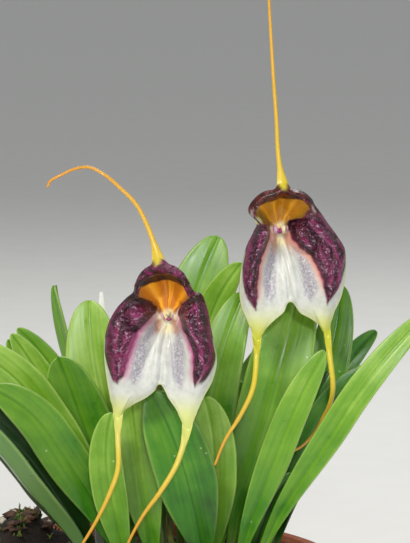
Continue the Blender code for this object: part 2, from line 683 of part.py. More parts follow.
def make_label(finish):
    """The blank white plant label, standing in the mix with its pointed end up."""
    foot = Vector((*LABEL_FOOT, SOIL - STEM_BURIED))
    knee = Vector((*LABEL_FOOT, SOIL + 1.0))
    top = Vector(LABEL_TOP)
    side = Matrix.Rotation(math.radians(LABEL_TURN_DEG), 3, "Z") @ Vector((1, 0, 0))
    front = side.cross(Vector((0, 0, 1)))
    taper = top + (knee - top).normalized() * LABEL_TAPER
    sections = []
    for middle, width in ((foot, LABEL_WIDTH), (knee, LABEL_WIDTH), (taper, LABEL_WIDTH), (top, 0.8)):
        half, skin = side * width / 2, front * LABEL_THICKNESS / 2
        sections.append([middle - half - skin, middle + half - skin, middle + half + skin, middle - half + skin])
    add_object("plant_label", loft(sections), finish, 30.0, PLANT_FROM_POT)


def main():
    """Builds the pot, the mix, the leaves and the blooms."""
    clear_scene()
    clay = material("clay", (0.55, 0.24, 0.13), 0.85)
    bark = material("bark", (0.10, 0.06, 0.04), 0.95)
    leaf_green = material("leaf_green", (0.16, 0.36, 0.05), 0.42)
    finishes = {
        "sepal": material("sepal", (0.30, 0.02, 0.09), 0.35),
        "column": material("column", (0.85, 0.80, 0.55), 0.4),
        "petal": material("petal", (0.88, 0.80, 0.80), 0.4),
        "lip": material("lip", (0.45, 0.05, 0.22), 0.4),
        "stalk": material("stalk", (0.30, 0.30, 0.12), 0.5),
    }
    leaves = FRONT_LEAVES + BACK_LEAVES
    blooms = (LOWER_BLOOM, UPPER_BLOOM)
    for leaf in leaves:
        make_leaf(leaf, leaf_green)
    for bloom in blooms:
        make_sepals(bloom, finishes["sepal"])
        make_inner_parts(bloom, finishes)
        make_stalk(bloom, finishes["stalk"])
    holes = [(*leaf.base, HOLE_RADIUS) for leaf in leaves]
    holes += [(*bloom.stalk[0][:2], STALK_RADIUS + GAP) for bloom in blooms]
    make_mix(bark, holes)
    make_label(material("label_white", (0.85, 0.85, 0.82), 0.45))
    make_pot(clay)


main()
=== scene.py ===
"""The looks of a masdevallia orchid in flower, in a clay pot of bark and moss.

Lengths in this file are millimetres until a piece is finished, +Z is up and
the blooms face -Y. The plant's own tables are measured from under the plant,
which stands a little to the right of the pot's middle, where the origin is.
"""

import logging
import math
import random
from dataclasses import dataclass, field
from enum import Enum
from typing import Iterable, Optional, Sequence, TypeVar

import bmesh
import bpy
from bmesh.types import BMesh, BMVert
from bpy.types import Material, Node, NodeSocket, NodeTree, Object
from mathutils import Matrix, Vector, noise

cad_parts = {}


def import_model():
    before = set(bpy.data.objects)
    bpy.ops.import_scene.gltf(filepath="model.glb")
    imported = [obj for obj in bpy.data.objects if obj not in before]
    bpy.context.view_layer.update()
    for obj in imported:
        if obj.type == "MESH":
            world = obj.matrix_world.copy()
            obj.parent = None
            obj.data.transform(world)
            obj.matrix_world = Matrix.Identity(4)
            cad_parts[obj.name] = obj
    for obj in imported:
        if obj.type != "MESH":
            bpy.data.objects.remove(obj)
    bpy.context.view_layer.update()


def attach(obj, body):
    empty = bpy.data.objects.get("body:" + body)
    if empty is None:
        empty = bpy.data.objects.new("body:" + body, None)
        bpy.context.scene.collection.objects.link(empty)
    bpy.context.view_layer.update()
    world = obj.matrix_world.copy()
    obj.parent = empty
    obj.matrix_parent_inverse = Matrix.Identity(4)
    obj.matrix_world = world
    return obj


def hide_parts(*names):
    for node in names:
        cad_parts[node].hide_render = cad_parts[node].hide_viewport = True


LOG = logging.getLogger("orchid")

MM = 0.001
ROOT = "root"
PLANT_FROM_POT = Vector((10.0, 0.0, 0.0))
NO_SHIFT = Vector((0.0, 0.0, 0.0))
UP = Vector((0.0, 0.0, 1.0))

SOIL = 79.0
STEM_BURIED = 10.0
STEM_RADIUS = 1.15

Line = tuple[tuple[float, float], ...]
Spot = tuple[float, float, float]
Amount = TypeVar("Amount", float, Vector)


# Small tools.


def linear(hex_colour: str) -> tuple[float, float, float, float]:
    """Turns an sRGB hex colour to the linear values that a shader takes.

    Args:
        hex_colour: Six hex digits, with or without a leading hash.

    Returns:
        Linear red, green, blue and an alpha of 1.
    """
    digits = hex_colour.lstrip("#")
    channels = [int(digits[i:i + 2], 16) / 255 for i in (0, 2, 4)]
    straight = [c / 12.92 if c <= 0.04045 else ((c + 0.055) / 1.055) ** 2.4 for c in channels]
    return (*straight, 1.0)


def set_inputs(tree: NodeTree, node: Node, inputs: dict) -> None:
    """Sets a node's inputs and their links.

    Args:
        tree: The material's node tree.
        node: The node.
        inputs: Values, hex colours or output sockets for its inputs, by name or number.
    """
    for key, value in inputs.items():
        if isinstance(value, NodeSocket):
            tree.links.new(value, node.inputs[key])
        else:
            node.inputs[key].default_value = linear(value) if isinstance(value, str) else value


def add_node(
    tree: NodeTree,
    kind: str,
    inputs: Optional[dict] = None,
    stops: Sequence[tuple[float, object]] = (),
    **settings: object,
) -> Node:
    """Adds a node with its settings and links.

    Args:
        tree: The material's node tree.
        kind: The node's type, without the leading "ShaderNode".
        inputs: Values, hex colours or output sockets for the node's inputs, by name or number.
        stops: Places and colours along the node's colour ramp, if it has one.
        settings: The node's own properties.

    Returns:
        The new node.
    """
    made = tree.nodes.new("ShaderNode" + kind)
    for key, value in settings.items():
        setattr(made, key, value)
    set_inputs(tree, made, inputs or {})
    for index, (place, colour) in enumerate(stops):
        elements = made.color_ramp.elements
        stop = elements[index] if index < len(elements) else elements.new(place)
        stop.position = place
        stop.color = linear(colour) if isinstance(colour, str) else (colour, colour, colour, 1.0)
    return made


def start_material(name: str) -> tuple[Material, NodeTree, Node]:
    """Starts a material.

    Args:
        name: Its name.

    Returns:
        The material, its node tree and its shader.
    """
    made = bpy.data.materials.new(name)
    made.use_nodes = True
    return made, made.node_tree, made.node_tree.nodes["Principled BSDF"]


def smooth_step(value: float, low: float, high: float) -> float:
    """0 below low, 1 above high, and an even S between them."""
    share = min(1.0, max(0.0, (value - low) / (high - low)))
    return share * share * (3 - 2 * share)


def bell(distance: float, width: float) -> float:
    """A smooth bump, 1 at no distance and falling away over the width."""
    return math.exp(-((distance / width) ** 2))


def rough(point: Vector, size: float, seed: float = 0.0) -> float:
    """Smooth noise from -1 to 1 with lumps of about the given size.

    Args:
        point: Where to read it, in millimetres.
        size: The width of a lump, in millimetres.
        seed: Any number, for another pattern.

    Returns:
        The noise there.
    """
    return noise.noise(Vector((point.x / size + seed, point.y / size - seed, point.z / size + 2 * seed)))


def hermite(start: Amount, into: Amount, end: Amount, out: Amount, part: float) -> Amount:
    """A point of a cubic curve.

    Args:
        start: Where it starts.
        into: Which way and how fast it leaves there.
        end: Where it ends.
        out: Which way and how fast it arrives there.
        part: The share of the way from the start to the end.

    Returns:
        The point there, of the same kind as the start and the end.
    """
    return (
        start * (2 * part**3 - 3 * part**2 + 1)
        + into * (part**3 - 2 * part**2 + part)
        + end * (3 * part**2 - 2 * part**3)
        + out * (part**3 - part**2)
    )


def spline_point(points: Sequence[Vector], position: float, closed: bool = False) -> Vector:
    """A smooth curve through the points.

    Args:
        points: The points it passes.
        position: How far along, counted in points, so 1.5 is half way from 1 to 2.
        closed: Whether the curve runs on from the last point to the first.

    Returns:
        The point there.
    """
    count = len(points)
    if closed:
        index = int(position) % count
        before, start, end, after = (points[(index + k) % count] for k in (-1, 0, 1, 2))
        part = position - int(position)
    else:
        index = min(count - 2, max(0, int(position)))
        start, end = points[index], points[index + 1]
        before = points[index - 1] if index > 0 else start
        after = points[index + 2] if index + 2 < count else end
        part = position - index
    length = (end - start).length
    into = (end - before).normalized() * length
    out = (after - start).normalized() * length
    return hermite(start, into, end, out, part)


def path_frame(points: Sequence[Vector], position: float, across: Vector) -> tuple[Vector, Vector, Vector]:
    """A place on a smooth path and the directions there.

    Args:
        points: The points that the path passes.
        position: How far along, counted in points.
        across: Roughly which way across is.

    Returns:
        The place, the direction along the path, and the direction across it, square to that.
    """
    ahead = spline_point(points, min(len(points) - 1, position + 0.05))
    behind = spline_point(points, max(0, position - 0.05))
    along = (ahead - behind).normalized()
    return spline_point(points, position), along, (across - along * across.dot(along)).normalized()


def value_along(values: Sequence[float], position: float) -> float:
    """The value at a position along a row of values, counted in values."""
    low = min(len(values) - 2, int(position))
    return values[low] + (values[low + 1] - values[low]) * (position - low)


def edge_distance(x: float, z: float, line: Line, closed: bool = False) -> float:
    """The distance from a flat point to a line of points.

    Args:
        x: Across.
        z: Up.
        line: The points of the line.
        closed: Whether its ends are joined.

    Returns:
        The distance, in the same units.
    """
    nearest = math.inf
    last = len(line) if closed else len(line) - 1
    for index in range(last):
        ax, az = line[index]
        bx, bz = line[(index + 1) % len(line)]
        dx, dz = bx - ax, bz - az
        along = max(0.0, min(1.0, ((x - ax) * dx + (z - az) * dz) / (dx * dx + dz * dz + 1e-9)))
        nearest = min(nearest, math.hypot(x - ax - dx * along, z - az - dz * along))
    return nearest


def inside_distance(x: float, z: float, area: Line) -> float:
    """How deep a flat point lies inside an area.

    Args:
        x: Across.
        z: Up.
        area: The corners of the area.

    Returns:
        The distance from its edge, less than 0 outside it.
    """
    within = False
    for index in range(len(area)):
        ax, az = area[index]
        bx, bz = area[index - 1]
        if (az > z) != (bz > z) and x < (bx - ax) * (z - az) / (bz - az) + ax:
            within = not within
    distance = edge_distance(x, z, area, closed=True)
    return distance if within else -distance


class Skin:
    """A closed surface drawn ring by ring, with marks on its points for the material to read."""

    def __init__(self, count: int, marks: Sequence[str] = ()) -> None:
        """Starts an empty surface.

        Args:
            count: The points in each ring.
            marks: The names of the vector attributes that the points carry.
        """
        self.count = count
        self.turns = [math.tau * k / count for k in range(count)]
        self.bm = bmesh.new()
        self.layers = {name: self.bm.verts.layers.float_vector.new(name) for name in marks}
        self.rings: list[list[BMVert]] = []

    def ring(self, points: Sequence[Vector], **marks: Sequence[Vector]) -> list[BMVert]:
        """Draws the surface on to one more ring of points.

        Args:
            points: Where the ring's points go.
            marks: For each named attribute, its value at each point.

        Returns:
            The ring's vertices.
        """
        if self.rings:
            made = extrude_ring(self.bm, self.rings[-1])
        else:
            made = bmesh.ops.create_circle(self.bm, segments=self.count, radius=1.0)["verts"]
        self.put(made, points, **marks)
        self.rings.append(made)
        return made

    def put(self, ring: Sequence[BMVert], points: Sequence[Vector], **marks: Sequence[Vector]) -> None:
        """Moves a ring's vertices to their points and writes their marks.

        Args:
            ring: The vertices.
            points: Where they go.
            marks: For each named attribute, its value at each point.
        """
        for vertex, point in zip(ring, points):
            vertex.co = point
        for name, values in marks.items():
            layer = self.layers[name]
            for vertex, value in zip(ring, values):
                vertex[layer] = value

    def close(self) -> None:
        """Closes the first and the last ring, each with one face."""
        self.bm.faces.new(self.rings[0])
        self.bm.faces.new(self.rings[-1])


def extrude_ring(bm: BMesh, ring: Sequence[BMVert]) -> list[BMVert]:
    """Extrudes a closed ring of vertices.

    Args:
        bm: Its mesh.
        ring: The vertices in order, each joined to the next.

    Returns:
        The new ring's vertices in the same order.
    """
    edges = [bm.edges.get((a, b)) for a, b in zip(ring, [*ring[1:], ring[0]])]
    made = bmesh.ops.extrude_edge_only(bm, edges=edges)["geom"]
    fresh = {thing for thing in made if isinstance(thing, BMVert)}
    return [next(e.other_vert(v) for e in v.link_edges if e.other_vert(v) in fresh) for v in ring]


def link_mesh(name: str, bm: BMesh) -> Object:
    """Makes an object of the scene from a mesh.

    Args:
        name: The object's name.
        bm: Its mesh, which this uses up.

    Returns:
        The object.
    """
    mesh = bpy.data.meshes.new(name)
    bm.to_mesh(mesh)
    bm.free()
    made = bpy.data.objects.new(name, mesh)
    bpy.context.scene.collection.objects.link(made)
    return made


def finish_piece(
    name: str,
    bm: BMesh,
    material: Material,
    replaces: Iterable[str] = (),
    shift: Vector = PLANT_FROM_POT,
    turn_out: bool = True,
) -> Object:
    """Makes a finished piece from a mesh in millimetres, and hangs it on the pot's body.

    Args:
        name: The piece's name.
        bm: Its mesh, which this uses up.
        material: Its finish.
        replaces: The solids that it stands for.
        shift: Where the mesh's own origin lies, from the pot's.
        turn_out: Whether to turn the faces outwards first.

    Returns:
        The piece's object.
    """
    if turn_out:
        bmesh.ops.recalc_face_normals(bm, faces=bm.faces)
    bmesh.ops.translate(bm, vec=shift, verts=bm.verts)
    bmesh.ops.scale(bm, vec=(MM, MM, MM), verts=bm.verts)
    made = link_mesh(name, bm)
    made.data.shade_smooth()
    made.data.materials.append(material)
    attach(made, ROOT)
    if replaces:
        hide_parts(*replaces)
    LOG.info("%s: %d faces", name, len(made.data.polygons))
    return made


# Finishes.


@dataclass(frozen=True)
class LeafFinish:
    """A thick living leaf with a waxy skin: soft gloss over green flesh, and a paler underside."""

    deep: str = "#0B2A03"
    dark: str = "#30700E"
    fresh: str = "#689722"
    pale: str = "#9FC058"
    blue: str = "#43735A"
    under: str = "#6F9448"
    stem: str = "#71853A"
    margin: str = "#B4CC70"
    chalk: str = "#D9E2C4"
    vein_spacing: float = 0.9
    mottle_size: float = 9.0
    fleck_size: float = 1.3
    pore_size: float = 0.35

    def material(self) -> Material:
        """Builds the finish; a leaf's points carry where they lie on it and how light it is.

        Returns:
            The material.
        """
        made, tree, shader = start_material("waxy_orchid_leaf")
        read = [add_node(tree, "Attribute", attribute_name=name).outputs["Vector"] for name in LEAF_MARKS]
        place, mood, span = (add_node(tree, "SeparateXYZ", {0: vector}).outputs for vector in read)
        where = add_node(tree, "TexCoord").outputs["Object"]
        # Long faint veins run side by side from the stalk to the tip.
        lengthwise = add_node(tree, "CombineXYZ", {0: place[0], 1: place[1], 2: mood[0]}).outputs[0]
        mottle, grain, pores = (
            add_node(
                tree, "TexNoise",
                {"Vector": vector, "Scale": 1 / size, "Detail": detail, "Roughness": roughness},
            ).outputs["Fac"]
            for vector, size, detail, roughness in (
                (where, self.mottle_size * MM, 4.0, 0.6),
                (lengthwise, self.vein_spacing, 3.0, 0.55),
                (where, self.pore_size * MM, 2.0, 0.5),
            )
        )
        off = add_node(tree, "Math", {0: place[0]}, operation="ABSOLUTE").outputs[0]
        light = mood[0]
        # The midrib's groove is painted darker, as shade in the crease, and the flesh beside it paler. The
        # leaf is painted darker towards its base, as shade deep in the plant, and pales towards its tip.
        for value, low, high, dark, bright in (
            (mottle, 0.0, 1.0, -0.20, 0.20), (grain, 0.0, 1.0, -0.13, 0.13),
            (span[1], 0.22, 0.85, -0.26, 0.03), (off, 0.10, 0.45, -0.17, 0.0), (off, 0.6, 2.2, 0.04, 0.0),
        ):
            part = add_node(
                tree, "MapRange",
                {"Value": value, "From Min": low, "From Max": high, "To Min": dark, "To Max": bright},
                interpolation_type="SMOOTHSTEP",
            ).outputs[0]
            light = add_node(tree, "Math", {0: light, 1: part}, operation="ADD").outputs[0]
        # Dried drops of hard water leave small chalky flecks.
        flecks = add_node(
            tree, "TexVoronoi", {"Vector": where, "Scale": 1 / (self.fleck_size * MM), "Randomness": 1.0})
        rare = add_node(
            tree, "Math", {0: flecks.outputs["Color"], 1: 0.90}, operation="GREATER_THAN").outputs[0]
        dot, gloss = (
            add_node(
                tree, "MapRange",
                {"Value": value, "From Min": low, "From Max": high, "To Min": first, "To Max": last},
            ).outputs[0]
            for value, low, high, first, last in (
                (flecks.outputs["Distance"], 0.10, 0.26, 0.4, 0.0), (mottle, 0.3, 0.7, 0.26, 0.42),
            )
        )
        fleck = add_node(tree, "Math", {0: rare, 1: dot}, operation="MULTIPLY").outputs[0]
        colour = add_node(
            tree, "ValToRGB", {"Fac": light},
            stops=((0.0, self.deep), (0.3, self.dark), (0.68, self.fresh), (1.0, self.pale)),
        ).outputs["Color"]
        for mask, tint in (
            (mood[1], self.blue), (place[2], self.under), (span[0], self.margin), (mood[2], self.stem),
            (fleck, self.chalk),
        ):
            colour = add_node(tree, "Mix", {0: mask, 6: colour, 7: tint}, data_type="RGBA").outputs[2]
        height = add_node(tree, "Math", {0: pores, 1: 0.25, 2: grain}, operation="MULTIPLY_ADD").outputs[0]
        bump = add_node(tree, "Bump", {"Height": height, "Strength": 0.4, "Distance": 0.14 * MM})
        set_inputs(tree, shader, {
            "Base Color": colour, "Roughness": gloss, "Normal": bump.outputs["Normal"],
            "Subsurface Weight": 0.1, "Subsurface Radius": (0.6, 1.0, 0.2),
            "Subsurface Scale": 1.0 * MM, "Specular IOR Level": 0.45,
        })
        return made


# The vector attributes of a leaf's points: across in millimetres, along, and underside;
# tone, blueness and stem; margin and the share of the way along.
LEAF_MARKS = ("place", "mood", "span")


@dataclass(frozen=True)
class SepalFinish:
    """A fleshy flower sepal: maroon pads, wet-looking partly by painted glints, a waxy white middle, an
    orange fan and yellow tails.
    """

    white: str = "#C6C9C4"
    shade_white: str = "#A5AAA4"
    green_white: str = "#C9D08E"
    streak: str = "#A8A4AC"
    streak_dark: str = "#85808E"
    maroon: str = "#4A0428"
    maroon_dark: str = "#280316"
    maroon_light: str = "#7C1452"
    # Painted highlight: the pinkish white of the glints on the wet pads.
    painted_sheen: str = "#C4A6C2"
    # Pink of the streaks on the pads' ridges and swelling, with a painted highlight in it.
    blush_and_highlight: str = "#9C3470"
    rim: str = "#B24E84"
    fan: str = "#BE700E"
    fan_dark: str = "#8E602A"
    fan_light: str = "#F0A822"
    # Dark brown of the hood, which also paints the shade under its rim.
    hood: str = "#3A140A"
    hood_dark: str = "#170504"
    cream: str = "#E6DCA4"
    stain: str = "#9C5C24"
    tail_base: str = "#C4CC74"
    tail_middle: str = "#C9B63C"
    tail_tip: str = "#CC8A2A"
    back: str = "#A9A66A"
    back_blotch: str = "#7A4A58"
    cloud_size: float = 2.2
    speck_size: float = 0.55
    wrinkle_width: float = 0.75
    wrinkle_length: float = 2.6

    def material(self, name: str) -> Material:
        """Builds the finish from the masks that the bloom's points carry.

        Args:
            name: The material's name.

        Returns:
            The material.
        """
        made, tree, shader = start_material(name)
        masks = {}
        for attribute, parts in SEPAL_MASKS.items():
            read = add_node(tree, "Attribute", attribute_name=attribute)
            split = add_node(tree, "SeparateXYZ", {"Vector": read.outputs["Vector"]})
            masks.update(zip(parts, split.outputs))
        where = add_node(tree, "TexCoord").outputs["Object"]
        # Fine wrinkles run outwards from the throat, over three times as long as they are wide.
        flow = add_node(tree, "CombineXYZ", {0: masks["around"], 1: masks["outwards"]}).outputs[0]
        stretched = add_node(
            tree, "VectorMath", {0: flow, 1: (1 / self.wrinkle_width, 1 / self.wrinkle_length, 1.0)},
            operation="MULTIPLY",
        ).outputs["Vector"]
        # The skin's tiny swellings, the specks, are drawn about twice their size, so that they show.
        cloud, speck, wrinkle = (
            add_node(
                tree, "TexNoise",
                {"Vector": vector, "Scale": 1 / size, "Detail": detail, "Roughness": roughness},
            ).outputs["Fac"]
            for vector, size, detail, roughness in (
                (where, self.cloud_size * MM, 4.0, 0.65), (where, self.speck_size * MM, 2.0, 0.55),
                (stretched, 1.0, 3.0, 0.55),
            )
        )
        shade, glint_speck, glint_line, gloss = (
            add_node(
                tree, "MapRange",
                {"Value": value, "From Min": low, "From Max": high, "To Min": least, "To Max": most},
            ).outputs[0]
            for value, low, high, least, most in (
                (cloud, 0.4, 0.7, 0.0, 0.6), (speck, 0.47, 0.62, 0.0, 0.9), (wrinkle, 0.47, 0.60, 0.0, 1.0),
                (masks["maroon"], 0.0, 1.0, 0.42, 0.20),
            )
        )
        # Painted glints: light specks along the wrinkles, laid over the pads' middles as light catching wet
        # skin.
        painted_glint = add_node(tree, "Math", {0: glint_speck, 1: glint_line}, operation="MULTIPLY").outputs[0]
        painted_sheen = add_node(tree, "Math", {0: painted_glint, 1: masks["middle"]}, operation="MULTIPLY").outputs[0]
        # The pads are painted darker in the folds' troughs and lighter on their ridges, painted shade and
        # highlight over the maroon's own mottle.
        fold_shade_and_mottle = add_node(
            tree, "Math", {0: masks["fold"], 1: 0.34, 2: cloud}, operation="MULTIPLY_ADD").outputs[0]
        ramps = {}
        for part, value, stops in (
            ("grey", speck, ((0.34, self.streak_dark), (0.58, self.streak), (0.68, self.white))),
            ("fan", masks["fan_tone"], ((0.0, self.fan_dark), (0.45, self.fan), (1.0, self.fan_light))),
            ("pad", fold_shade_and_mottle, ((0.44, self.maroon_dark), (0.68, self.maroon), (0.98, self.maroon_light))),
            ("hood", cloud, ((0.38, self.hood_dark), (0.66, self.hood))),
            ("back", cloud, ((0.40, self.back), (0.62, self.back_blotch))),
            ("tail", masks["tail_share"],
             ((0.0, self.tail_base), (0.3, self.tail_middle), (1.0, self.tail_tip))),
        ):
            ramps[part] = add_node(tree, "ValToRGB", {"Fac": value}, stops=stops).outputs["Color"]
        behind = add_node(
            tree, "Mix", {0: masks["maroon"], 6: self.back, 7: ramps["back"]}, data_type="RGBA").outputs[2]
        pad = ramps["pad"]
        # Over the maroon go the pink streaks with painted highlights, then the painted glints.
        for mask, tint in ((masks["blush_and_highlight"], self.blush_and_highlight), (painted_sheen, self.painted_sheen)):
            pad = add_node(tree, "Mix", {0: mask, 6: pad, 7: tint}, data_type="RGBA").outputs[2]
        flesh = self.white
        for mask, tint in (
            (shade, self.shade_white), (masks["margin"], self.green_white), (masks["streak"], ramps["grey"]),
            (masks["cream"], self.cream), (masks["stain"], self.stain), (masks["fan"], ramps["fan"]),
            (masks["rim"], self.rim), (masks["maroon"], pad), (masks["hood"], ramps["hood"]),
            (masks["back"], behind), (masks["tail"], ramps["tail"]),
        ):
            flesh = add_node(tree, "Mix", {0: mask, 6: flesh, 7: tint}, data_type="RGBA").outputs[2]
        relief = add_node(tree, "Math", {0: wrinkle, 1: 1.6, 2: speck}, operation="MULTIPLY_ADD").outputs[0]
        bump = add_node(
            tree, "Bump", {"Height": relief, "Strength": masks["relief"], "Distance": 0.5 * MM})
        set_inputs(tree, shader, {
            "Base Color": flesh, "Roughness": gloss, "Normal": bump.outputs["Normal"],
            "Subsurface Weight": 0.08, "Subsurface Radius": (0.8, 0.65, 0.4),
            "Subsurface Scale": 0.5 * MM, "Specular IOR Level": 0.4,
            "Coat Weight": 0.14, "Coat Roughness": 0.1,
        })
        return made


# The vector attributes of a bloom's points, and the mask that each of their parts holds. Around
# and outwards are where a point lies round the throat and from it, in millimetres.
SEPAL_MASKS = {
    "pattern_a": ("maroon", "middle", "rim"),
    "pattern_b": ("fan", "fan_tone", "fold"),
    "pattern_c": ("streak", "margin", "stain"),
    "pattern_d": ("hood", "cream", "back"),
    "pattern_e": ("tail", "tail_share", "blush_and_highlight"),
    "pattern_f": ("around", "outwards", "relief"),
}


# The upper bloom is fresher: its hood is browner, its rims salmon and its tails a greener yellow.
UPPER_FLESH = SepalFinish(
    rim="#CE8676", fan="#B87C10", fan_dark="#7A5C1C", fan_light="#E6A420",
    hood="#5E120C", hood_dark="#280404",
    tail_base="#B9BC38", tail_middle="#C6B42E", tail_tip="#CC9434",
)


@dataclass(frozen=True)
class SimpleFinish:
    """A plain living or moulded surface: two mottled colours, with a little relief."""

    name: str
    light: str
    dark: str
    roughness: float
    mottle_size: float
    relief: float
    coat: float = 0.0
    translucence: float = 0.0

    def material(self) -> Material:
        """Builds the finish.

        Returns:
            The material.
        """
        made, tree, shader = start_material(self.name)
        where = add_node(tree, "TexCoord").outputs["Object"]
        cloud, fine = (
            add_node(
                tree, "TexNoise",
                {"Vector": where, "Scale": closeness / (self.mottle_size * MM), "Detail": detail,
                 "Roughness": roughness},
            ).outputs["Fac"]
            for closeness, detail, roughness in ((1, 5.0, 0.65), (4, 4.0, 0.7))
        )
        colour = add_node(
            tree, "ValToRGB", {"Fac": cloud}, stops=((0.35, self.dark), (0.65, self.light)))
        bump = add_node(tree, "Bump", {"Height": fine, "Strength": 0.7, "Distance": self.relief * MM})
        set_inputs(tree, shader, {
            "Base Color": colour.outputs["Color"], "Normal": bump.outputs["Normal"],
            "Roughness": self.roughness, "Coat Weight": self.coat,
            "Subsurface Weight": self.translucence, "Subsurface Scale": 0.8 * MM,
        })
        return made


@dataclass(frozen=True)
class ClayFinish:
    """Unglazed terracotta: matt fired clay with fine grit, throwing lines and a pale bloom of lime."""

    clay: str = "#B4643F"
    clay_dark: str = "#8E4528"
    lime: str = "#D9B69C"
    damp: str = "#6E3A26"
    cloud_size: float = 24.0
    lime_size: float = 11.0
    grit_size: float = 0.6
    line_spacing: float = 2.6
    damp_from: float = 2.0
    damp_to: float = 22.0

    def material(self) -> Material:
        """Builds the finish.

        Returns:
            The material.
        """
        made, tree, shader = start_material("unglazed_terracotta")
        where = add_node(tree, "TexCoord").outputs["Object"]
        up = add_node(tree, "SeparateXYZ", {"Vector": where}).outputs["Z"]
        # The throwing lines run round the pot, so their noise reads only the height.
        upwards = add_node(tree, "CombineXYZ", {"Z": up}).outputs[0]
        cloud, bloom, grit, lines = (
            add_node(
                tree, "TexNoise",
                {"Vector": vector, "Scale": 1 / (size * MM), "Detail": detail, "Roughness": roughness},
            ).outputs["Fac"]
            for vector, size, detail, roughness in (
                (where, self.cloud_size, 6.0, 0.6), (where, self.lime_size, 8.0, 0.75),
                (where, self.grit_size, 3.0, 0.6), (upwards, self.line_spacing, 2.0, 0.5),
            )
        )
        colour, chalky = (
            add_node(tree, "ValToRGB", {"Fac": value}, stops=stops).outputs["Color"]
            for value, stops in (
                (cloud, ((0.35, self.clay_dark), (0.62, self.clay))), (bloom, ((0.54, 0.0), (0.74, 0.5))),
            )
        )
        wet = add_node(
            tree, "MapRange",
            {"Value": up, "From Min": self.damp_from * MM, "From Max": self.damp_to * MM,
             "To Min": 0.55, "To Max": 0.0},
        ).outputs[0]
        for mask, tint in ((chalky, self.lime), (wet, self.damp)):
            colour = add_node(tree, "Mix", {0: mask, 6: colour, 7: tint}, data_type="RGBA").outputs[2]
        height = add_node(tree, "Math", {0: lines, 1: 0.8, 2: grit}, operation="MULTIPLY_ADD").outputs[0]
        bump = add_node(tree, "Bump", {"Height": height, "Strength": 0.6, "Distance": 0.2 * MM})
        set_inputs(
            tree, shader, {"Base Color": colour, "Roughness": 0.88, "Normal": bump.outputs["Normal"]})
        return made


class Tint(Enum):
    """The plain finishes, each named for what it is."""

    # Waxy flesh: soft, wide highlights over pale cream and pinks.
    COLUMN = SimpleFinish("waxy_column", "#DAD6B0", "#C8BE94", 0.45, 1.4, 0.04, 0.0, 0.1)
    PETAL = SimpleFinish("waxy_petal", "#CDB4BC", "#B0749A", 0.45, 1.6, 0.04, 0.0, 0.1)
    LIP = SimpleFinish("waxy_lip", "#A85A88", "#8E3468", 0.45, 1.5, 0.04, 0.0, 0.1)
    # A green stem flushed with brown, a little glossy, and its dry paper-brown sheaths.
    STALK = SimpleFinish("flower_stalk", "#7D8A35", "#5C4A22", 0.42, 2.5, 0.05, 0.1, 0.1)
    SHEATH = SimpleFinish("papery_sheath", "#B79E6C", "#6E5533", 0.7, 2.5, 0.12)
    # What fills the pot, all matt and rough: red-brown chips, near-black crumbs, moss and pumice.
    BARK = SimpleFinish("damp_pine_bark", "#5A3A26", "#1E120B", 0.82, 3.5, 0.5)
    PEAT = SimpleFinish("dark_wet_mix", "#2C1E14", "#100A06", 0.9, 2.5, 0.7)
    MOSS = SimpleFinish("living_moss", "#6C8A2B", "#2C4413", 0.75, 2.2, 0.2, 0.0, 0.1)
    PUMICE = SimpleFinish("pale_pumice", "#D8D2C4", "#A79B88", 0.85, 1.2, 0.3)
    # Moulded white polystyrene: even, smooth and half matt.
    LABEL = SimpleFinish("white_label_plastic", "#F3F3F0", "#E6E6E0", 0.42, 9.0, 0.02)


# Leaves.


class LeafFace(Enum):
    """The parts of a leaf's skin, each with how strongly it takes the underside's colour."""

    TOP = 0.0
    MARGIN = 0.25
    UNDER = 0.5


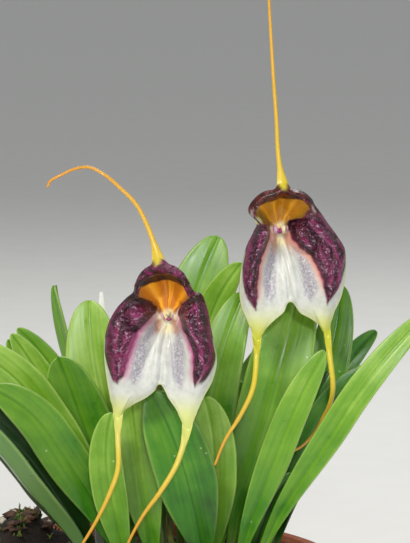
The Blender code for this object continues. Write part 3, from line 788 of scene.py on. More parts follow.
@dataclass(frozen=True)
class Leaf:
    """One leaf on its stem.

    Its base is where the stem stands in the mix, and its midrib passes its middle and ends
    at its tip. Facing is the way that its upper side looks. Tone runs from 0, deep green,
    to 1, pale, and was set to how lit each leaf looks, so it paints light and shade as well
    as the leaf's own green. Blue is how blue it looks.
    """

    name: str
    base: tuple[float, float]
    middle: Spot
    tip: Spot
    width: float
    tone: float
    facing: Spot = (0.0, -1.0, 0.35)
    fold: float = 0.16
    blue: float = 0.0

    WIDEST = 0.64
    TOP_POINTS = 21
    UNDER_POINTS = 13
    STEM_STEPS = 40
    TIP_STEPS = 22
    STALK_FOLD = 0.8
    WAVES = 15
    WAVE_HEIGHT = 0.035
    ROLL = 0.10
    MARGIN_BULGE = 0.22
    SKIN_HEIGHT = 0.45
    GROOVE_DEPTH = 0.34
    GROOVE_WIDTH = 0.55
    MARGIN_THICKNESS = 0.32
    KEEL_DEPTH = 0.63

    def spine(self, share: float) -> Vector:
        """A point of the midrib.

        Args:
            share: How far along, from 0, where the stem leaves the mix, to 1, the tip.

        Returns:
            The point there.
        """
        collar = Vector((*self.base, SOIL + 1.0))
        middle, tip = Vector(self.middle), Vector(self.tip)
        lower, upper = (middle - collar).length, (tip - middle).length
        turn = lower / (lower + upper)
        through = (tip - collar).normalized()
        if share <= turn:
            into = UP * 0.8 + (middle - collar).normalized() * 0.2
            return hermite(collar, into.normalized() * lower, middle, through * lower, share / turn)
        out = ((tip - middle).normalized() * 2 - through).normalized()
        return hermite(middle, through * upper, tip, out * upper, (share - turn) / (1 - turn))

    def half_width(self, share: float) -> float:
        """Half of the leaf's width: a thin stem, a slim stalk, the broad blade and a round tip.

        Args:
            share: How far along the midrib.

        Returns:
            Half of the width there.
        """
        half = STEM_RADIUS + (self.width / 2 - STEM_RADIUS) * smooth_step(share, 0.10, self.WIDEST - 0.04)
        if share > self.WIDEST:
            half *= math.sqrt(max(0.0, 1 - ((share - self.WIDEST) / (1 - self.WIDEST)) ** 2.3))
        return half

    def stations(self) -> list[float]:
        """The places of the leaf's sections, closer together towards the tip.

        Returns:
            Their shares of the way along the midrib.
        """
        lower = [self.WIDEST * k / self.STEM_STEPS for k in range(self.STEM_STEPS)]
        turns = [math.pi / 2 * k / self.TIP_STEPS for k in range(self.TIP_STEPS)]
        upper = [self.WIDEST + (1 - self.WIDEST) * math.sin(turn) for turn in turns]
        return [*lower, *upper, 0.9995]

    def section(self, share: float, seed: float) -> tuple[list[Vector], list[Vector]]:
        """The leaf's cross-section.

        Args:
            share: How far along the midrib.
            seed: Any number, for this leaf's own waves.

        Returns:
            Its points, and for each point where it lies: across in millimetres, along, and
            how strongly it takes the underside's colour.
        """
        here = self.spine(share)
        ahead, behind = self.spine(min(1, share + 0.01)), self.spine(max(0, share - 0.01))
        along = (ahead - behind).normalized()
        facing = Vector(self.facing)
        up = (facing - along * facing.dot(along)).normalized()
        across = along.cross(up)
        half = self.half_width(share)
        flatness = smooth_step(share, 0.06, 0.30)
        fold = self.fold + (self.STALK_FOLD - self.fold) * (1 - smooth_step(share, 0.14, 0.5))
        wave = math.sin(share * self.WAVES + seed) * self.WAVE_HEIGHT * smooth_step(share, 0.3, 0.6)
        points, places = [], []
        for side, face in self.corners():
            lift = abs(side) ** 1.12 * fold * half + wave * half * side * abs(side)
            rolled = self.ROLL * half * max(0.0, abs(side) - 0.75)
            skin, reach = 0.0, 0.0
            if face is LeafFace.MARGIN:
                reach = math.copysign(self.MARGIN_BULGE, side)
            elif face is LeafFace.TOP:
                skin = self.SKIN_HEIGHT - 0.13 * abs(side)
                skin -= self.GROOVE_DEPTH * bell(side * half, self.GROOVE_WIDTH) * flatness
            else:
                skin = -(self.MARGIN_THICKNESS + self.KEEL_DEPTH * (1 - abs(side)) ** 1.5)
            blade = Vector((side * half + reach, lift - rolled + skin))
            angle = math.radians(self.stem_angle(side, face))
            flat = (Vector((math.cos(angle), math.sin(angle))) * STEM_RADIUS).lerp(blade, flatness)
            points.append(here + across * flat.x + up * flat.y)
            places.append(Vector((side * half, share * 2, face.value)))
        return points, places

    def corners(self) -> list[tuple[float, LeafFace]]:
        """The points of a section.

        Returns:
            For each point in order, where it lies across, from -1 to 1, and its part of the skin.
        """
        top = [(-1 + 2 * k / (self.TOP_POINTS - 1), LeafFace.TOP) for k in range(self.TOP_POINTS)]
        under = [(1 - 2 * k / (self.UNDER_POINTS - 1), LeafFace.UNDER) for k in range(self.UNDER_POINTS)]
        return [*top, (1.0, LeafFace.MARGIN), *under, (-1.0, LeafFace.MARGIN)]

    @staticmethod
    def stem_angle(side: float, face: LeafFace) -> float:
        """Where a point of the section lies round the stem.

        Args:
            side: Where it lies across the blade, from -1 to 1.
            face: Its part of the skin.

        Returns:
            The angle, in degrees.
        """
        if face is LeafFace.MARGIN:
            return -5.0 if side > 0 else 185.0
        return 90 - 75 * side if face is LeafFace.TOP else -90 + 65 * side

    def build(self, material: Material) -> Object:
        """Makes the leaf, from inside the mix to its tip.

        Args:
            material: The leaf finish.

        Returns:
            The leaf's object.
        """
        seed = sum(map(ord, self.name)) * 0.37
        skin = Skin(self.TOP_POINTS + self.UNDER_POINTS + 2, LEAF_MARKS)
        rims = [0.1 + 0.4 * self.tone if abs(side) > 0.99 else 0.0 for side, _ in self.corners()]
        collar, places = self.section(0.0, seed)
        buried = [Vector((p.x, p.y, SOIL - STEM_BURIED)) for p in collar]
        mood = [Vector((self.tone, self.blue, 1.0))] * skin.count
        skin.ring(buried, place=places, mood=mood, span=[Vector()] * skin.count)
        for share in self.stations():
            points, places = self.section(share, seed)
            stemness = 1 - smooth_step(share, 0.04, 0.24)
            mood = [Vector((self.tone, self.blue, stemness))] * skin.count
            span = [Vector((rim * smooth_step(share, 0.25, 0.5), share, 0.0)) for rim in rims]
            skin.ring(points, place=places, mood=mood, span=span)
        skin.close()
        return finish_piece(self.name + "_fine", skin.bm, material, (self.name,))


LEFTWARD = (-0.85, -0.5, 0.2)
UNDERSIDE = (0.5, 0.6, 0.6)

# Each tone paints how lit the leaf is, besides its own green.
LEAVES = (
    Leaf("leaf_front_centre", (7, -20), (2, -25, 113), (-7, -24, 135.5), 15, 0.38),
    Leaf("leaf_front_right_centre", (8, -13), (9, -17, 118), (6.5, -17, 133), 11, 0.74),
    Leaf("leaf_front_left_centre", (-6, -15), (-10.5, -17, 115), (-12.5, -16, 135.5), 10.5, 0.74),
    Leaf("leaf_front_narrow_left", (-13, -20), (-18.5, -25, 116), (-17, -28, 131), 8.5, 0.66),
    Leaf("leaf_left_long_lower", (-14, -13), (-32.5, -24, 124), (-46.5, -32, 138), 11, 0.52),
    Leaf("leaf_left_long_upper", (-15, -7), (-37, -14.5, 131), (-56, -18, 147), 11.5, 0.76),
    Leaf("leaf_left_lowest", (-21, -18), (-40, -30, 116), (-56, -36, 136), 9, 0.10, UNDERSIDE, 0.3, 0.35),
    # Painted shade: its tone, darker than deep green, stands for the shadow between the leaves above and
    # below it.
    Leaf("leaf_left_shaded", (-21, -11), (-35, -18, 112.5), (-52.5, -20, 130.5), 12, -0.1),
    Leaf("leaf_left_broad", (-11, -5), (-24, -6, 119.5), (-31.5, -10, 142), 15, 0.48),
    Leaf("leaf_left_round_back", (-8, 3), (-21.5, 5, 130.8), (-24.4, 9, 154), 16, 0.80),
    Leaf("leaf_left_small_a", (-14, 1), (-33.5, -2, 129), (-44, -4, 147), 8, 0.72),
    Leaf("leaf_left_small_b", (-18, 6), (-36, 4, 125.5), (-45.5, 2, 144.5), 7, 0.6),
    Leaf("leaf_left_small_c", (-13, 10), (-32, 9, 131), (-43.5, 8, 146.5), 7, 0.55),
    Leaf("leaf_left_spire", (-8, 13), (-27.5, 13.5, 130), (-34, 12, 157.5), 7, 0.5, LEFTWARD),
    Leaf("leaf_back_tall", (0, 8), (1.5, 9, 140.5), (10.3, 14, 170.5), 17, 0.58),
    Leaf("leaf_back_slim", (4, 2), (6, 2, 143), (16, -2, 165.5), 9.5, 0.7),
    Leaf("leaf_centre_tall", (5, -7), (9, -9, 133), (16.7, -4, 158), 12, 0.62),
    Leaf("leaf_centre_slim", (9, -3), (15, -3, 117), (15.5, -3, 134.5), 8, 0.6),
    Leaf("leaf_right_broad", (12, -8), (24, -12, 132.5), (32, -3, 160.5), 16, 0.64),
    Leaf("leaf_right_front", (14, -18), (26, -21, 122.5), (37, -20, 145.5), 8, 0.64),
    Leaf("leaf_right_tall", (15, 1), (37, -3, 133.5), (42.3, 3, 159), 11, 0.46),
    Leaf("leaf_right_inner", (18, -2), (31, -6, 122.5), (39, -5, 137.5), 6, 0.16),
    Leaf("leaf_right_small_back", (20, 5), (38.3, 7, 127.5), (52.6, 12, 145.2), 7, 0.28, (0.6, -0.5, 0.7)),
    Leaf("leaf_right_small_front", (23, -9), (34.5, -11, 121.5), (48.5, -10, 139.5), 7.5, 0.26),
    Leaf("leaf_right_long", (18.5, -18), (41, -26, 129.5), (63.5, -22, 156), 7, 0.68),
    Leaf("leaf_right_short", (18, -11), (23, -14, 102.5), (29.5, -14, 112), 6.5, 0.2),
    Leaf("leaf_rear_a", (-10, 22), (-20, 31, 108), (-34, 38, 127), 12, 0.5, (0.3, -0.8, 0.5)),
    Leaf("leaf_rear_b", (-5, 20), (-9, 33, 116), (-16, 47, 138), 13, 0.6, (0.1, -0.9, 0.5)),
    Leaf("leaf_rear_c", (3, 21), (5, 36, 118), (9, 52, 140), 14, 0.5, (0, -0.9, 0.5)),
    Leaf("leaf_rear_d", (10, 18), (17, 30, 117), (28, 44, 138), 12, 0.62, (-0.2, -0.9, 0.5)),
    Leaf("leaf_rear_e", (16, 13), (26, 20, 116), (40, 28, 133), 12, 0.5, (-0.4, -0.8, 0.5)),
    Leaf("leaf_rear_f", (5, 13), (8, 20, 126), (12, 26, 150), 12, 0.6, (0, -1, 0.4)),
    Leaf("leaf_rear_g", (-24, 9), (-34, 12, 107), (-46, 15, 124), 10, 0.5, (0.4, -0.7, 0.6)),
    Leaf("leaf_rear_h", (22, 11), (32, 15, 106), (42, 20, 122), 10, 0.5, (-0.4, -0.7, 0.6)),
)


# Blooms.


@dataclass(frozen=True)
class Markings:
    """Where a bloom's colours lie, as seen from the front, in millimetres from the throat.

    The pads, the fan and the streaks are areas. The hood's lower edge, the midline, the
    swelling, the pale corners and the stains are lines; the pale corners are cream edges with
    painted highlights. A pink streak with a painted highlight, along a ridge or on the
    swelling, is a line with its width and strength, and a ridge of the fan has its angle in
    degrees, width and strength. Brown hood is 1 where the hood is brown all over.
    """

    pads: tuple[Line, ...]
    fan: Line
    hood_line: Line
    streaks: tuple[Line, ...]
    midline: Line
    swelling: Line
    blushes_and_highlights: tuple[tuple[Line, float, float], ...]
    corners: tuple[Line, ...]
    stains: tuple[Line, ...]
    ridges: tuple[tuple[float, float, float], ...]
    brown_hood: float


@dataclass(frozen=True)
class Organ:
    """One small part in a bloom's throat, flat and oval, with a rounded end.

    Its path runs across, forward and up from the throat, and has a width at each point.
    """

    part: str
    slot: str
    path: tuple[Spot, ...]
    widths: tuple[float, ...]
    thickness: float
    across: Spot = (1.0, 0.0, 0.0)

    SIDES = 20
    STEPS = 6

    def draw(self) -> BMesh:
        """Draws the part.

        Returns:
            Its closed mesh, in the bloom's own frame.
        """
        points = [Vector((x, -forward, z)) for x, forward, z in self.path]
        last = len(points) - 1
        skin = Skin(self.SIDES)
        for step in range(last * self.STEPS + 1):
            position = step / self.STEPS
            here, along, side = path_frame(points, position, Vector(self.across))
            up = along.cross(side)
            width = value_along(self.widths, position)
            end = math.sqrt(max(0.04, 1 - smooth_step(position, last - 0.9, last)))
            skin.ring([
                here + side * math.cos(turn) * width / 2 * end
                + up * math.sin(turn) * self.thickness / 2 * end
                for turn in skin.turns
            ])
        skin.close()
        return skin.bm


@dataclass(frozen=True)
class Bloom:
    """One bloom of three joined sepals with long tails, its small inner parts and its stalk.

    The outline runs clockwise as seen from the front, across and up from the throat.
    """

    name: str
    throat: Spot
    turn_deg: float
    outline: Line
    tails: tuple[tuple[Spot, ...], ...]
    stalk: tuple[Spot, ...]
    markings: Markings
    organs: tuple[Organ, ...]
    seed: float

    # The outline's corners that the tails grow from, with the tails' thin radii, and how far
    # their yellow reaches on to the face, with its squeeze across and up.
    TAIL_TIPS = (0, 14, 24)
    TAIL_RADII = (0.44, 0.56, 0.56)
    TAIL_GROUNDS = ((2.2, 1.2, 1.1), (7.0, 1.0, 1.0), (7.0, 1.0, 1.0))
    TIP_RADIUS = 0.32
    TAPER = 2.8
    FLARE = 0.34
    FLARE_LENGTH = 11.0
    ROUND_LENGTH = 6.0
    BLEND_REACH = 3.4
    BLEND_PASSES = 5
    FLOOR_RADIUS = 2.4
    THROAT_RADIUS = 0.5
    THROAT_RISE = 2.6
    THICKNESS = 1.2
    PER_SEGMENT = 8
    FRONT_RINGS = 72
    BACK_STEP = 4
    TAIL_STEPS = 9
    FOLD_TURN = 2.9
    MOAT = 3.2
    GAP = 0.3
    OVARY_RADIUS = 1.7
    STALK_RADIUS = 0.9
    STALK_SIDES = 18
    RIBS = 6
    RIB_DEPTH = 0.07
    SHEATHS = (("sheath", 2.9, 3.25), ("bract", 4.75, 5.3))
    SHEATH_SHARES = (0.9, 1.25, 1.32, 1.38, 1.45, 1.6, 0.95)
    # How far forward the face stands, at these shares of the way out, by the direction from
    # the top of the bloom in degrees.
    RELIEF_SHARES = (0.0, 0.10, 0.25, 0.42, 0.60, 0.78, 0.90, 1.0)
    RELIEF = {
        0: (0, 1.2, 2.2, 3.4, 5.4, 9.4, 10.0, 8.6),
        30: (0, 1.4, 2.8, 4.6, 6.6, 9.2, 9.6, 8.0),
        60: (0, 2.2, 4.6, 6.6, 8.2, 9.0, 8.6, 7.4),
        90: (0, 4.0, 7.8, 9.6, 9.8, 8.8, 7.2, 5.2),
        120: (0, 4.0, 7.6, 9.4, 10.0, 9.2, 7.6, 5.4),
        145: (0, 3.4, 6.0, 7.8, 8.8, 8.6, 7.6, 6.0),
        162: (0, 2.8, 4.6, 6.2, 7.4, 7.8, 7.4, 6.6),
        180: (0, 2.2, 3.6, 5.0, 6.4, 7.0, 7.2, 7.0),
    }

    def place(self) -> Matrix:
        """The matrix from the bloom's own frame, across, back and up from the throat, to the plant's."""
        turn = Matrix.Rotation(math.radians(self.turn_deg), 4, "Z")
        return Matrix.Translation(Vector(self.throat)) @ turn

    def relief(self, angle_deg: float, share: float) -> float:
        """How far forward the sepals stand.

        Args:
            angle_deg: The direction from the throat, from the top of the bloom.
            share: The share of the way from the throat's floor to the edge.

        Returns:
            The distance forward, in millimetres.
        """
        rows = sorted(self.RELIEF)
        angle = min(180.0, abs(angle_deg))
        low = min(max(i for i, row in enumerate(rows) if row <= angle), len(rows) - 2)
        between = smooth_step(angle, rows[low], rows[low + 1])
        shares = self.RELIEF_SHARES
        column = min(max(i for i, at in enumerate(shares) if at <= share), len(shares) - 2)
        part = (share - shares[column]) / (shares[column + 1] - shares[column])
        heights = []
        for row in (rows[low], rows[low + 1]):
            values = (self.RELIEF[row][0], *self.RELIEF[row], self.RELIEF[row][-1])
            before, start, end, after = values[column:column + 4]
            heights.append(hermite(start, (end - before) / 2, end, (after - start) / 2, part))
        return heights[0] + (heights[1] - heights[0]) * between

    def fine_outline(self) -> list[Vector]:
        """The outline drawn as a smooth curve.

        Returns:
            Its points, several to each of the outline's segments.
        """
        corners = [Vector((x, 0.0, z)) for x, z in self.outline]
        steps = len(corners) * self.PER_SEGMENT
        return [spline_point(corners, k / self.PER_SEGMENT, closed=True) for k in range(steps)]

    def hood_height(self, x: float) -> float:
        """The height of the hood's lower edge.

        Args:
            x: Across, in millimetres from the throat.

        Returns:
            The height above the throat there; past the edge's ends it falls away.
        """
        line = self.markings.hood_line
        if x <= line[0][0]:
            return line[0][1] - (line[0][0] - x) * 0.8
        for (ax, az), (bx, bz) in zip(line, line[1:]):
            if x <= bx:
                return az + (bz - az) * (x - ax) / (bx - ax)
        return line[-1][1] - (x - line[-1][0]) * 0.8

    @staticmethod
    def stray(spot: Vector, seed: float) -> float:
        """How far the colours' edges stray from their smooth outlines at a place, in millimetres."""
        return 0.28 * rough(spot, 1.6, seed) + 0.12 * rough(spot, 0.6, seed + 2.0)

    def maroon(self, x: float, z: float, share: float, depth: float) -> float:
        """How strongly the maroon shows: on the pads, over the hood and down the bloom's sides.

        Args:
            x: Across, in millimetres from the throat.
            z: Up, in millimetres from the throat.
            share: The share of the way from the throat to the edge.
            depth: The distance inside the nearest pad.

        Returns:
            The mask, from 0 to 1.
        """
        # Lower down it stops short of the edge and leaves a thin pale margin.
        limit = 1.1 - 0.13 * smooth_step(-z, 1.0, 6.0) - 0.014 * max(0.0, -z - 9)
        side = smooth_step(share, 0.80, 0.84) * smooth_step(z, -16.5, -15.0)
        side *= max(smooth_step(abs(x), 6.0, 7.5), smooth_step(z, -4.0, -1.0))
        above = z - self.hood_height(x)
        strength = max(smooth_step(depth, -0.2, 0.25), smooth_step(above, -0.3, 0.3), side)
        return strength * (1 - smooth_step(share, limit, limit + 0.025))

    def tail_ground(self, x: float, z: float) -> float:
        """How strongly the tails' yellow shows beside the corners that they grow from.

        Args:
            x: Across, in millimetres from the throat.
            z: Up, in millimetres from the throat.

        Returns:
            The mask, from 0 to 1.
        """
        strength = 0.0
        for tip, (reach, spread, rise) in zip(self.TAIL_TIPS, self.TAIL_GROUNDS):
            away = math.hypot((x - self.outline[tip][0]) * spread, (z - self.outline[tip][1]) * rise)
            strength = max(strength, smooth_step(reach - away, 0.0, reach - 0.6))
        return strength

    def masks(self, x: float, z: float, share: float) -> dict[str, float]:
        """How strongly each of the bloom's colours shows at a place on its face.

        Args:
            x: Across, in millimetres from the throat.
            z: Up, in millimetres from the throat.
            share: The share of the way from the throat to the edge.

        Returns:
            The masks by name, each from 0 to 1, with the place round the throat and outwards
            from it and the distance from the swelling, in millimetres.
        """
        spot = Vector((x, self.seed, z))
        x += self.stray(spot, 3.0)
        z += self.stray(spot, 7.0)
        look = self.markings
        radius, angle = math.hypot(x, z), math.degrees(math.atan2(x, z + 1.0))
        depth = max(inside_distance(x, z, pad) for pad in look.pads)
        above = z - self.hood_height(x)
        # Thin pale lines at the sides part the hood from the pads: cream edges with painted highlights where
        # the folded edge would shine.
        corner = 0.7 * max(bell(edge_distance(x, z, line), 0.38) for line in look.corners)
        maroon = self.maroon(x, z, share, depth) * (1 - corner)
        # The hood's inside is dark brown: its own colour, deepened into painted shade under the hood's rim.
        # On the upper bloom its front is brown too.
        brown = smooth_step(-above, -0.6, 0.2) * smooth_step(z, 3.5, 5.0)
        brown = max(brown, look.brown_hood * smooth_step(above, -0.3, 0.3))
        fan = inside_distance(x, z, look.fan)
        ridge = max(strength * bell(angle - at, width) for at, width, strength in look.ridges)
        swelling = edge_distance(x, z, look.swelling)
        # The pads' folds follow their edges, about 2 mm apart, and leave a moat round the swelling. Besides
        # being raised, they are painted: darker in the troughs and the moat as shade, lighter on the ridges
        # as highlight.
        bend = 1.4 * rough(spot, 4.0, 17.0)
        fold = 0.5 + 0.5 * math.cos(depth * self.FOLD_TURN + bend + 0.5 * rough(spot, 1.3, 19.0))
        fold *= 1 - bell(swelling - self.MOAT, 0.9)
        tail = self.tail_ground(x, z)
        rim = smooth_step(depth, -2.0, 0.2) ** 1.3 * smooth_step(-z, -2.0, 2.0)
        # Orange stains run down from the throat between the streaks and fade out.
        stain = max(bell(edge_distance(x, z, line), 0.85) for line in look.stains)
        stain *= 0.8 * (1 - smooth_step(radius, 3.0, 8.5)) * smooth_step(-z, 0.3, 1.2)
        cream = bell(radius - 0.4, 2.6) * smooth_step(z, -3.0, 0.0)
        streak = max(smooth_step(inside_distance(x, z, area), -1.1, 0.5) for area in look.streaks)
        # Pink streaks with painted highlights along the ridges and on the swelling.
        blush_and_highlight = sum(
            strength * bell(edge_distance(x, z, line), width) for line, width, strength in look.blushes_and_highlights)
        return {
            "maroon": maroon,
            # Where the painted glints lie: the pads' middles, most on the folds' ridges.
            "middle": smooth_step(depth, 0.3, 1.4) * (0.25 + 0.75 * fold),
            "rim": rim * (1 - smooth_step(share, 0.6, 0.8)),
            "fan": smooth_step(fan, -0.75, -0.35) * smooth_step(radius, 0.9, 2.6),
            "fan_tone": min(1.0, max(0.0, 0.42 + 0.6 * ridge - 0.45 * smooth_step(abs(angle), 28.0, 50.0))),
            "fold": fold,
            "streak": 0.9 * streak,
            # Greenish white lines the edge lower down and covers the feet of the lower tails.
            "margin": max(
                0.85 * smooth_step(share, 0.955, 0.995) * smooth_step(-z, 3.0, 9.0),
                0.9 * smooth_step(-z, 17.5, 24.5)),
            "stain": stain,
            "hood": brown * smooth_step(-fan, -0.1, 0.25) * (1 - corner),
            "cream": max(cream, 0.8 * bell(math.hypot(x, z + 3.0), 1.5)),
            "back": 0.0,
            "tail": tail * (1 if z > 0 else 1 - maroon),
            "tail_share": 0.3 if z > 0 else 0.0,
            "blush_and_highlight": min(1.0, blush_and_highlight),
            "around": math.atan2(x, z) * 9.0 + self.seed * 10,
            "outwards": radius,
            "relief": (0.22 + 0.78 * maroon) * (1 - 0.8 * tail) * (1 - 0.6 * brown),
            "swelling": swelling,
        }

    def detail(self, x: float, z: float, look: dict[str, float]) -> float:
        """The small relief of the face, forward of the smooth form.

        Args:
            x: Across, in millimetres from the throat.
            z: Up, in millimetres from the throat.
            look: The masks there.

        Returns:
            The extra distance forward, in millimetres.
        """
        spot = Vector((x, self.seed, z))
        pad = look["maroon"] * (1 - look["hood"])
        # The pads stand up, with their folds, their raised pink streaks with painted highlights and small
        # bumps.
        forward = 0.45 * pad + 0.5 * (look["fold"] - 0.5) * pad + 0.35 * look["blush_and_highlight"]
        forward += (0.18 * rough(spot, 1.5, 11.0) + 0.12 * rough(spot, 0.75, 13.0)) * look["maroon"]
        # The fan has ridges, and the grey streaks are pitted.
        forward += 0.45 * (look["fan_tone"] - 0.4) * look["fan"]
        forward += 0.14 * look["streak"] * rough(spot, 0.9, 21.0)
        # A groove runs down the middle between two low ridges.
        middle = edge_distance(x, z, self.markings.midline)
        forward += (0.45 * bell(middle - 1.4, 0.8) - 0.45 * bell(middle, 0.5)) * (1 - pad)
        forward += 1.3 * bell(look["swelling"], 2.0) - 0.7 * bell(look["swelling"] - self.MOAT, 0.6)
        return forward

    def face_point(self, edge: Vector, share: float) -> Vector:
        """A point of the solid's front face.

        Args:
            edge: The point of the outline that it lies towards.
            share: The share of the way from the throat's floor to the edge.

        Returns:
            The point, in the bloom's own frame.
        """
        inner = edge.normalized() * self.FLOOR_RADIUS
        point = inner.lerp(edge, share)
        point.y = -self.relief(math.degrees(math.atan2(edge.x, edge.z)), share)
        return point

    def front_point(self, edge: Vector, share: float) -> Vector:
        """A point of the fine front face, which closes the throat with a shallow floor.

        Args:
            edge: The point of the outline that it lies towards.
            share: The share of the way from the middle to the edge.

        Returns:
            The point, in the bloom's own frame.
        """
        inner = edge.normalized() * self.THROAT_RADIUS
        point = inner.lerp(edge, share)
        reach = edge.length - self.FLOOR_RADIUS
        far = max(0.0, (point.length - self.FLOOR_RADIUS) / reach)
        height = self.relief(math.degrees(math.atan2(edge.x, edge.z)), far)
        gap = height - self.THROAT_RISE
        point.y = -(self.THROAT_RISE + 0.5 * (gap + math.sqrt(gap * gap + 0.5)))
        return point

    def shares(self) -> list[float]:
        """The shares of the way out at which the front face has its rings."""
        return [k / self.FRONT_RINGS for k in range(self.FRONT_RINGS)] + [0.992, 1.0]

    @staticmethod
    def marks(looks: Sequence[dict[str, float]]) -> dict[str, list[Vector]]:
        """The masks of a ring's points as the vector attributes that the finish reads.

        Args:
            looks: The masks at each point.

        Returns:
            For each attribute, its value at each point.
        """
        return {
            name: [Vector([look[part] for part in parts]) for look in looks]
            for name, parts in SEPAL_MASKS.items()
        }

    def build_sepals(self, material: Material) -> Object:
        """Makes the three joined sepals: the cup, the broad face and the three long tails.

        Args:
            material: The sepal finish.

        Returns:
            The sepals' object.
        """
        edges = self.fine_outline()
        skin = Skin(len(edges), tuple(SEPAL_MASKS))
        shares = self.shares()
        smooth = [[self.face_point(edge, share) for edge in edges] for share in shares]
        for share in shares:
            ring = [self.front_point(edge, share) for edge in edges]
            looks = [self.masks(p.x, p.z, share) for p in ring]
            fade = smooth_step(share, 0.06, 0.16)
            rounding = 0.3 if share == 1.0 else 0.0
            points = [
                Vector((p.x, p.y - self.detail(p.x, p.z, look) * fade + rounding, p.z))
                for p, look in zip(ring, looks)
            ]
            skin.ring(points, **self.marks(looks))
        front_edge = skin.rings[-1]
        back_edge = self.draw_back(skin, smooth, shares)
        skin.close()
        bmesh.ops.transform(skin.bm, matrix=self.place(), verts=skin.bm.verts)
        for tip, path, slim in zip(self.TAIL_TIPS, self.tails, self.TAIL_RADII):
            ring = self.open_edge(skin, front_edge, back_edge, tip)
            self.draw_tail(skin, ring, path, slim, yellow=tip == 0)
        return finish_piece(self.name + "_sepals_fine", skin.bm, material, (self.name + "_sepals",))

    def draw_back(self, skin: Skin, smooth: list[list[Vector]], shares: list[float]) -> list[BMVert]:
        """Draws the back face inwards from the edge.

        Args:
            skin: The surface, whose last ring is the front face's edge.
            smooth: The points of the smooth front face, ring by ring.
            shares: The rings' shares of the way out.

        Returns:
            The back face's outermost ring of vertices.
        """
        count = len(smooth[0])
        last = len(smooth) - 1
        rows = [last, last - 1, *range(last - 2, 0, -self.BACK_STEP), 0]
        outermost = None
        for row in rows:
            ring = smooth[row]
            thickness = self.THICKNESS - 0.35 * smooth_step(shares[row], 0.4, 1.0)
            points = []
            for i, point in enumerate(ring):
                if row == 0:
                    points.append(point + (point.normalized() + Vector((0, 1, 0))) * self.THICKNESS)
                    continue
                around = ring[(i + 1) % count] - ring[i - 1]
                out = smooth[min(row + 1, last)][i] - smooth[row - 1][i]
                normal = around.cross(out).normalized()
                if normal.y > 0:
                    normal = -normal
                rounding = 0.25 if row == last else 0.0
                points.append(point - normal * (thickness - rounding))
            behind = {"back": 0.0 if row >= last - 1 else 1.0}
            looks = [self.masks(p.x, p.z, shares[row]) | behind for p in ring]
            made = skin.ring(points, **self.marks(looks))
            outermost = outermost or made
        return outermost

    def tail_radius(self, gone: float, length: float, base: float, slim: float) -> float:
        """A tail's radius: it narrows fast where it leaves the bloom, and slowly from there.

        Args:
            gone: The distance from its start.
            length: Its whole length.
            base: Its radius at its start.
            slim: Its radius where it has become thin.

        Returns:
            The radius there.
        """
        taper = math.exp(-gone / self.TAPER)
        radius = slim + (base - slim) * taper
        radius += self.FLARE * (math.exp(-gone / self.FLARE_LENGTH) - taper)
        return radius + (self.TIP_RADIUS - slim) * smooth_step(gone / length, 0.4, 1.0)

    def open_edge(self, skin: Skin, front: list[BMVert], back: list[BMVert], tip: int) -> list[BMVert]:
        """Opens the sepals' edge where a tail grows.

        Args:
            skin: The sepals' surface.
            front: The front face's outermost ring of vertices.
            back: The back face's outermost ring.
            tip: The outline corner that the tail grows from.

        Returns:
            The vertices round the opening, first the front ones and then the back ones.
        """
        reach = self.PER_SEGMENT
        spots = [(tip * reach + step) % len(front) for step in range(-reach, reach + 1)]
        walls = [skin.bm.edges.get((front[i], back[i])) for i in spots[1:-1]]
        faces = {face for wall in walls for face in wall.link_faces}
        bmesh.ops.delete(skin.bm, geom=list(faces), context="FACES")
        return [front[i] for i in spots] + [back[i] for i in reversed(spots)]

    def draw_tail(
        self, skin: Skin, ring: list[BMVert], path: Sequence[Spot], slim: float, yellow: bool
    ) -> None:
        """Draws a tail out of the sepals' edge, along its path, to a thin tip.

        Args:
            skin: The sepals' surface, in the plant's frame.
            ring: The vertices round the opening in its edge.
            path: The points that the tail passes.
            slim: Its radius where it has become thin.
            yellow: Whether it is yellow from its start, as the hood's tail is.
        """
        centre = sum((v.co for v in ring), Vector()) / len(ring)
        points = [centre] + [Vector(p) for p in path]
        lengths = [0.0]
        for a, b in zip(points, points[1:]):
            lengths.append(lengths[-1] + (b - a).length)
        starts = [v.co - centre for v in ring]
        half = len(starts) // 2
        base_radius = sum(s.length for s in starts) / len(starts) * 0.85
        front = sum(starts[:half], Vector())
        along = (points[1] - points[0]).normalized()
        first = (front - along * front.dot(along)).normalized()
        sign = 1.0 if (starts[half - 1] - starts[0]).dot(along.cross(first)) > 0 else -1.0
        steps = (len(points) - 1) * self.TAIL_STEPS
        for step in range(1, steps + 1):
            position = step / self.TAIL_STEPS
            here, along, first = path_frame(points, position, first)
            second = along.cross(first)
            gone = value_along(lengths, position)
            radius = self.tail_radius(gone, lengths[-1], base_radius, slim)
            roundness = smooth_step(gone, 0.0, self.ROUND_LENGTH)
            section = []
            for i, start in enumerate(starts):
                turn = ((i + 0.5) / len(starts) * math.tau - math.pi / 2) * sign
                rounded = (first * math.cos(turn) + second * math.sin(turn)) * radius
                section.append(here + (start * (radius / base_radius)).lerp(rounded, roundness))
            ring = extrude_ring(skin.bm, ring)
            look = dict.fromkeys((part for parts in SEPAL_MASKS.values() for part in parts), 0.0)
            part = gone / lengths[-1]
            look |= {"tail": 1.0, "tail_share": 0.3 + 0.7 * math.sqrt(part) if yellow else part}
            skin.put(ring, section, **self.marks([look] * len(ring)))
        skin.bm.faces.new(ring)
        near = [v for v in skin.bm.verts if (v.co - centre).length < self.BLEND_REACH]
        for _ in range(self.BLEND_PASSES):
            bmesh.ops.smooth_vert(
                skin.bm, verts=near, factor=0.5, use_axis_x=True, use_axis_y=True, use_axis_z=True)

